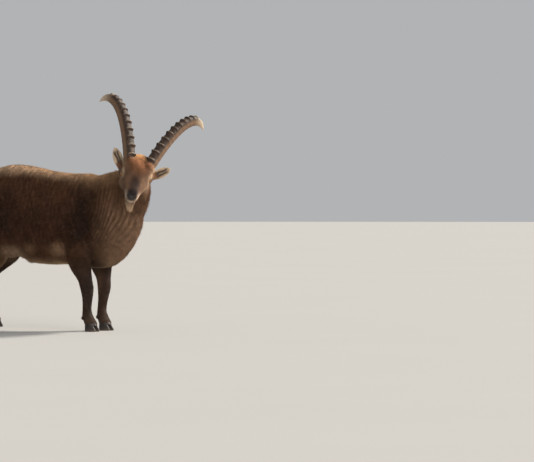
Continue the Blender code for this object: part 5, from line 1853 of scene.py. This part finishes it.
    def make(self) -> None:
        """Makes every coat piece."""
        fields = self.tree()
        forms = {sort: link(f"form_{sort.value}", tuft.mesh(sort.value)) for sort, tuft in TUFTS.items()}
        for seed, patch in enumerate(PATCHES, 1):
            holder = link("holder", self.skin.data.copy())
            lay = holder.modifiers.new("lay", "NODES")
            lay.node_group = fields.tree
            for name, value in (
                ("Zone", patch.zone.value),
                ("Gap", patch.gap),
                ("Seed", seed),
                ("Longer", patch.longer),
                ("Wider", patch.wider),
                ("Unruly", patch.unruly),
                ("Form", forms[patch.sort]),
                ("Finish", self.finish),
            ):
                lay[fields.ports[name]] = value
            mesh = applied(holder)
            self.wrap(mesh, patch.zone)
            for name in ("comb", "hair_length", "hair_width", "hair_lift", "cover", "bareness", "tuft_root", "tuft_side"):
                if name in mesh.attributes:
                    mesh.attributes.remove(mesh.attributes[name])
            mesh.polygons.foreach_set("use_smooth", np.ones(len(mesh.polygons), bool))
            piece = dress(link(f"coat_{patch.zone.name.lower()}", mesh), self.finish, patch.slot)
            self.made += sum(len(face.vertices) - 2 for face in piece.data.polygons)
        for form in forms.values():
            bpy.data.objects.remove(form)
        bpy.data.node_groups.remove(fields.tree)
        log.info("coat: %d triangles", self.made)


# Horns, hooves and eyes.


@dataclass
class Horn:
    """One ringed horn, finer than its solid."""

    mirror: int
    shape: HornShape
    finish: bpy.types.Material
    stations: int = 340
    sides: int = 56

    def make(self) -> bpy.types.Object:
        """Makes the horn and stands it in for its solid."""
        path = self.shape.path(self.mirror)
        rings, marks = [], []
        draw = np.random.default_rng(40 + self.mirror)
        twist = draw.uniform(-0.25, 0.25, self.shape.knobs + 2)
        ridges = self.shape.ridges()
        fronts = [float(ramp(math.sin(2 * math.pi * k / self.sides), -0.15, 0.75)) for k in range(self.sides)]
        last = len(ridges) - 1
        for i in range(self.stations + 1):
            t = i / self.stations
            station = path[round(t * self.shape.steps)]
            low = path[min(int(t * self.shape.steps), self.shape.steps - 1)]
            share = t * self.shape.steps - int(t * self.shape.steps)
            high = path[min(int(t * self.shape.steps) + 1, self.shape.steps)]
            station = (t, low[1].lerp(high[1], share), low[2].lerp(high[2], share), low[3].lerp(high[3], share))
            place, along, forward, side = self.shape.placed(self.mirror, station)
            half_width, half_depth = self.shape.section(t)
            place = place - along * self.shape.sunk * max(0.0, 1 - t / 0.025)
            outline = []
            for k in range(self.sides):
                angle = 2 * math.pi * k / self.sides
                c, s = math.cos(angle), math.sin(angle)
                shift = 0.004 * c * twist[int(t * self.shape.knobs)]
                ridge = float(ridges[min(max(round((t + shift) * last), 0), last)])
                front = fronts[k]
                edge = 1 + 0.30 * abs(c) * front
                knob = self.shape.rise * ridge * front * edge
                wear = 0.00018 * math.sin(t * 310) + 0.0003 * math.sin(t * 97 + 2 * c)
                across = (half_width + 0.18 * knob) * math.copysign(abs(c) ** 0.8, c) * (1 + 0.16 * s)
                reach = half_depth * (0.92 if s > 0 else 1.0) + knob
                outline.append(place + side * across + forward * (reach * math.copysign(abs(s) ** 0.8, s)) + (side * c + forward * s) * wear)
                marks.append((t, front, ridge * front))
            rings.append(outline)
        clay = Clay()
        clay.loft(rings)
        mesh = clay.mesh("horn")
        marks += [(0.0, 0.0, 0.0), (1.0, 0.0, 0.0)]
        order = np.array(marks)
        store(mesh, "horn_along", "FLOAT", order[:, 0])
        store(mesh, "horn_front", "FLOAT", order[:, 1])
        store(mesh, "horn_knob", "FLOAT", order[:, 2])
        mesh.polygons.foreach_set("use_smooth", np.ones(len(mesh.polygons), bool))
        hand = SIDES[self.mirror]
        return dress(link(f"horn_{hand}_ridged", settled(mesh)), self.finish, f"horn_{hand}", [f"horn_{hand}"])


@dataclass
class Hoof:
    """The two claws of one foot, finer than their solids."""

    leg: Leg
    finish: bpy.types.Material
    rows: Sequence[Row] = (
        (0.0, 0.026, 0.0385, 0.0175, 0.0140),
        (0.0022, 0.0264, 0.0400, 0.0177, 0.0154),
        (0.006, 0.027, 0.041, 0.0178, 0.0158),
        (0.022, 0.022, 0.036, 0.0172, 0.0150),
        (0.036, 0.018, 0.032, 0.0165, 0.0143),
        (0.0457, 0.016, 0.029, 0.0160, 0.0135),
    )
    sides: int = 36
    stations: int = 22

    def make(self) -> bpy.types.Object:
        """Makes both claws and stands them in for their solids."""
        clay = Clay()
        size = 1.0 if "front" in self.leg.name else 0.94
        for outer in (1, -1):
            mirror = self.leg.mirror * outer
            table = [(0.0, 0.0, height, ahead, long, out, wide) for height, ahead, long, out, wide in self.rows]
            rings = []
            for _, _, height, ahead, long, out, wide in smooth_rows(table, self.stations):
                centre = self.leg.foot + Vector((ahead * size, mirror * out * size, max(height, 0.0)))
                ripple_here = 1 + 0.006 * math.sin(height * 1400)
                outline = []
                for k in range(self.sides):
                    angle = 2 * math.pi * k / self.sides
                    c, s = math.cos(angle), math.sin(angle)
                    pointed = 1 - 0.30 * max(c, 0) ** 2
                    reach = long * size * c * (1.0 if c > 0 else 0.86) * ripple_here
                    across = wide * size * math.copysign(abs(s) ** 0.8, s) * pointed * (0.80 if s < 0 else 1.0)
                    outline.append(centre + Vector((reach, mirror * across, 0)))
                rings.append(outline)
            clay.loft(rings)
        mesh = clay.mesh("claws")
        mesh.polygons.foreach_set("use_smooth", np.ones(len(mesh.polygons), bool))
        mesh.set_sharp_from_angle(angle=math.radians(50))
        nodes = [f"hoof_{self.leg.name}_{which}" for which in ("outer", "inner")]
        return dress(link(f"claws_{self.leg.name}", settled(mesh)), self.finish, nodes[0], nodes)


@dataclass
class Eye:
    """One eye, with its clear front a little proud."""

    mirror: int
    face: Face
    finish: bpy.types.Material
    bulge: float = 0.0012

    def make(self) -> bpy.types.Object:
        """Makes the eye and stands it in for its solid."""
        centre, look, _, _ = self.face.eye_frame(self.mirror)
        level = UP.cross(look).normalized()
        clay = Clay()
        clay.ball(Vector(), (self.face.eye_radius - 0.0002,) * 3, look.to_track_quat("Z", "X").to_matrix(), 64)
        mesh = clay.mesh("eye")
        points = corners(mesh)
        facing = points @ np.array(look) / self.face.eye_radius
        points *= (1 + self.bulge / self.face.eye_radius * ramp(facing, 0.75, 0.98))[:, None]
        gaze = np.column_stack([points @ np.array(way) for way in (level, look.cross(level), look)])
        gaze[facing < 0, :2] = 1.0
        store(mesh, "gaze", "FLOAT_VECTOR", gaze)
        mesh.vertices.foreach_set("co", (points + np.array(centre)).astype(np.float32).ravel())
        mesh.polygons.foreach_set("use_smooth", np.ones(len(mesh.polygons), bool))
        hand = SIDES[self.mirror]
        return dress(link(f"eye_{hand}_wet", settled(mesh)), self.finish, f"eye_{hand}", [f"eye_{hand}"])


# Studio.


@dataclass
class Studio:
    """A plain pale floor, soft lights and the camera."""

    azimuth: float = math.radians(38.0)
    elevation: float = math.radians(0.75)
    distance: float = 20.0
    frame_width: float = 3.0705
    middle_right: float = 0.9752
    middle_up: float = 0.575
    floor_radius: float = 60.0
    key_strength: float = 5.8
    fill_strength: float = 2.1
    edge_strength: float = 2.0
    air_strength: float = 0.60

    def floor(self) -> None:
        """Lays the floor."""
        bm = bmesh.new()
        bmesh.ops.create_circle(bm, cap_ends=True, segments=96, radius=self.floor_radius)
        mesh = bpy.data.meshes.new("floor")
        bm.to_mesh(mesh)
        bm.free()
        mesh.materials.append(FloorFinish().make())
        link("floor", mesh)

    def light(self, name: str, direction: Vector, strength: float, breadth: float, colour: Row) -> None:
        """Hangs one soft light, far off and broad.

        Args:
            name: Its name.
            direction: The way its light travels.
            strength: How strong it is.
            breadth: How wide it looks, in degrees.
            colour: Its colour.
        """
        lamp = bpy.data.lights.new(name, "SUN")
        lamp.energy, lamp.angle, lamp.color = strength, math.radians(breadth), colour
        made = bpy.data.objects.new(name, lamp)
        made.rotation_euler = direction.to_track_quat("-Z", "Y").to_euler()
        bpy.context.scene.collection.objects.link(made)

    def make(self) -> None:
        """Sets up the whole studio."""
        self.floor()
        world = bpy.data.worlds.new("air")
        world.use_nodes = True
        air = world.node_tree.nodes["Background"].inputs
        air[0].default_value, air[1].default_value = (0.74, 0.75, 0.77, 1.0), self.air_strength
        scene = bpy.context.scene
        scene.world = world
        scene.view_settings.view_transform = "Standard"
        right = Vector((math.cos(self.azimuth), math.sin(self.azimuth), 0.0))
        toward = Vector((right.y, -right.x, 0.0))
        self.light("high_window", toward * 0.55 - right * 0.75 - UP * 0.82, self.key_strength, 12.0, (1.0, 0.94, 0.85))
        self.light("front_fill", -toward * 6.0 - right * 3.5 - UP * 2.5, self.fill_strength, 30.0, (1.0, 0.95, 0.90))
        self.light("edge_light", toward * 3.0 - right * 8.0 - UP * 4.0, self.edge_strength, 15.0, (1.0, 0.94, 0.86))
        lens = bpy.data.cameras.new("camera")
        lens.sensor_width = 36.0
        lens.lens = lens.sensor_width * self.distance / self.frame_width
        lens.clip_end = 200.0
        camera = bpy.data.objects.new("camera", lens)
        target = right * self.middle_right - FOOTPRINT_MIDDLE + UP * self.middle_up
        back = toward * math.cos(self.elevation) + UP * math.sin(self.elevation)
        camera.location = target + back * self.distance
        camera.rotation_euler = (-back).to_track_quat("-Z", "Y").to_euler()
        scene.collection.objects.link(camera)
        scene.camera = camera


FEET = {
    "front_right": Vector((0.005, -0.085, 0.0)),
    "front_left": Vector((-0.034, 0.085, 0.0)),
    "hind_right": Vector((-0.770, -0.095, 0.0)),
    "hind_left": Vector((-0.900, 0.095, 0.0)),
}
LEGS = [Leg(name, foot) for name, foot in FEET.items()]


def main() -> None:
    """Makes the studio and every piece of the animal, in order."""
    logging.basicConfig(level=logging.INFO, format="%(message)s")
    Studio().make()
    face, ears, horns = Face(), EarShape(), HornShape()
    skin = Skin(Trunk(), LEGS, face, ears).make()
    Coat(skin, CoatFinish().make()).make()
    flesh = ["torso", "neck", "tail", "head", "ear_right", "ear_left"]
    flesh += [f"leg_{name}" for name in FEET]
    dress(skin, SkinFinish().make(), "torso", flesh)
    horn, hoof, eye = HornFinish().make(), HoofFinish().make(), EyeFinish().make()
    for mirror in SIDES:
        Horn(mirror, horns, horn).make()
        Eye(mirror, face, eye).make()
    for leg in LEGS:
        Hoof(leg, hoof).make()


if __name__ == "__main__":
    main()
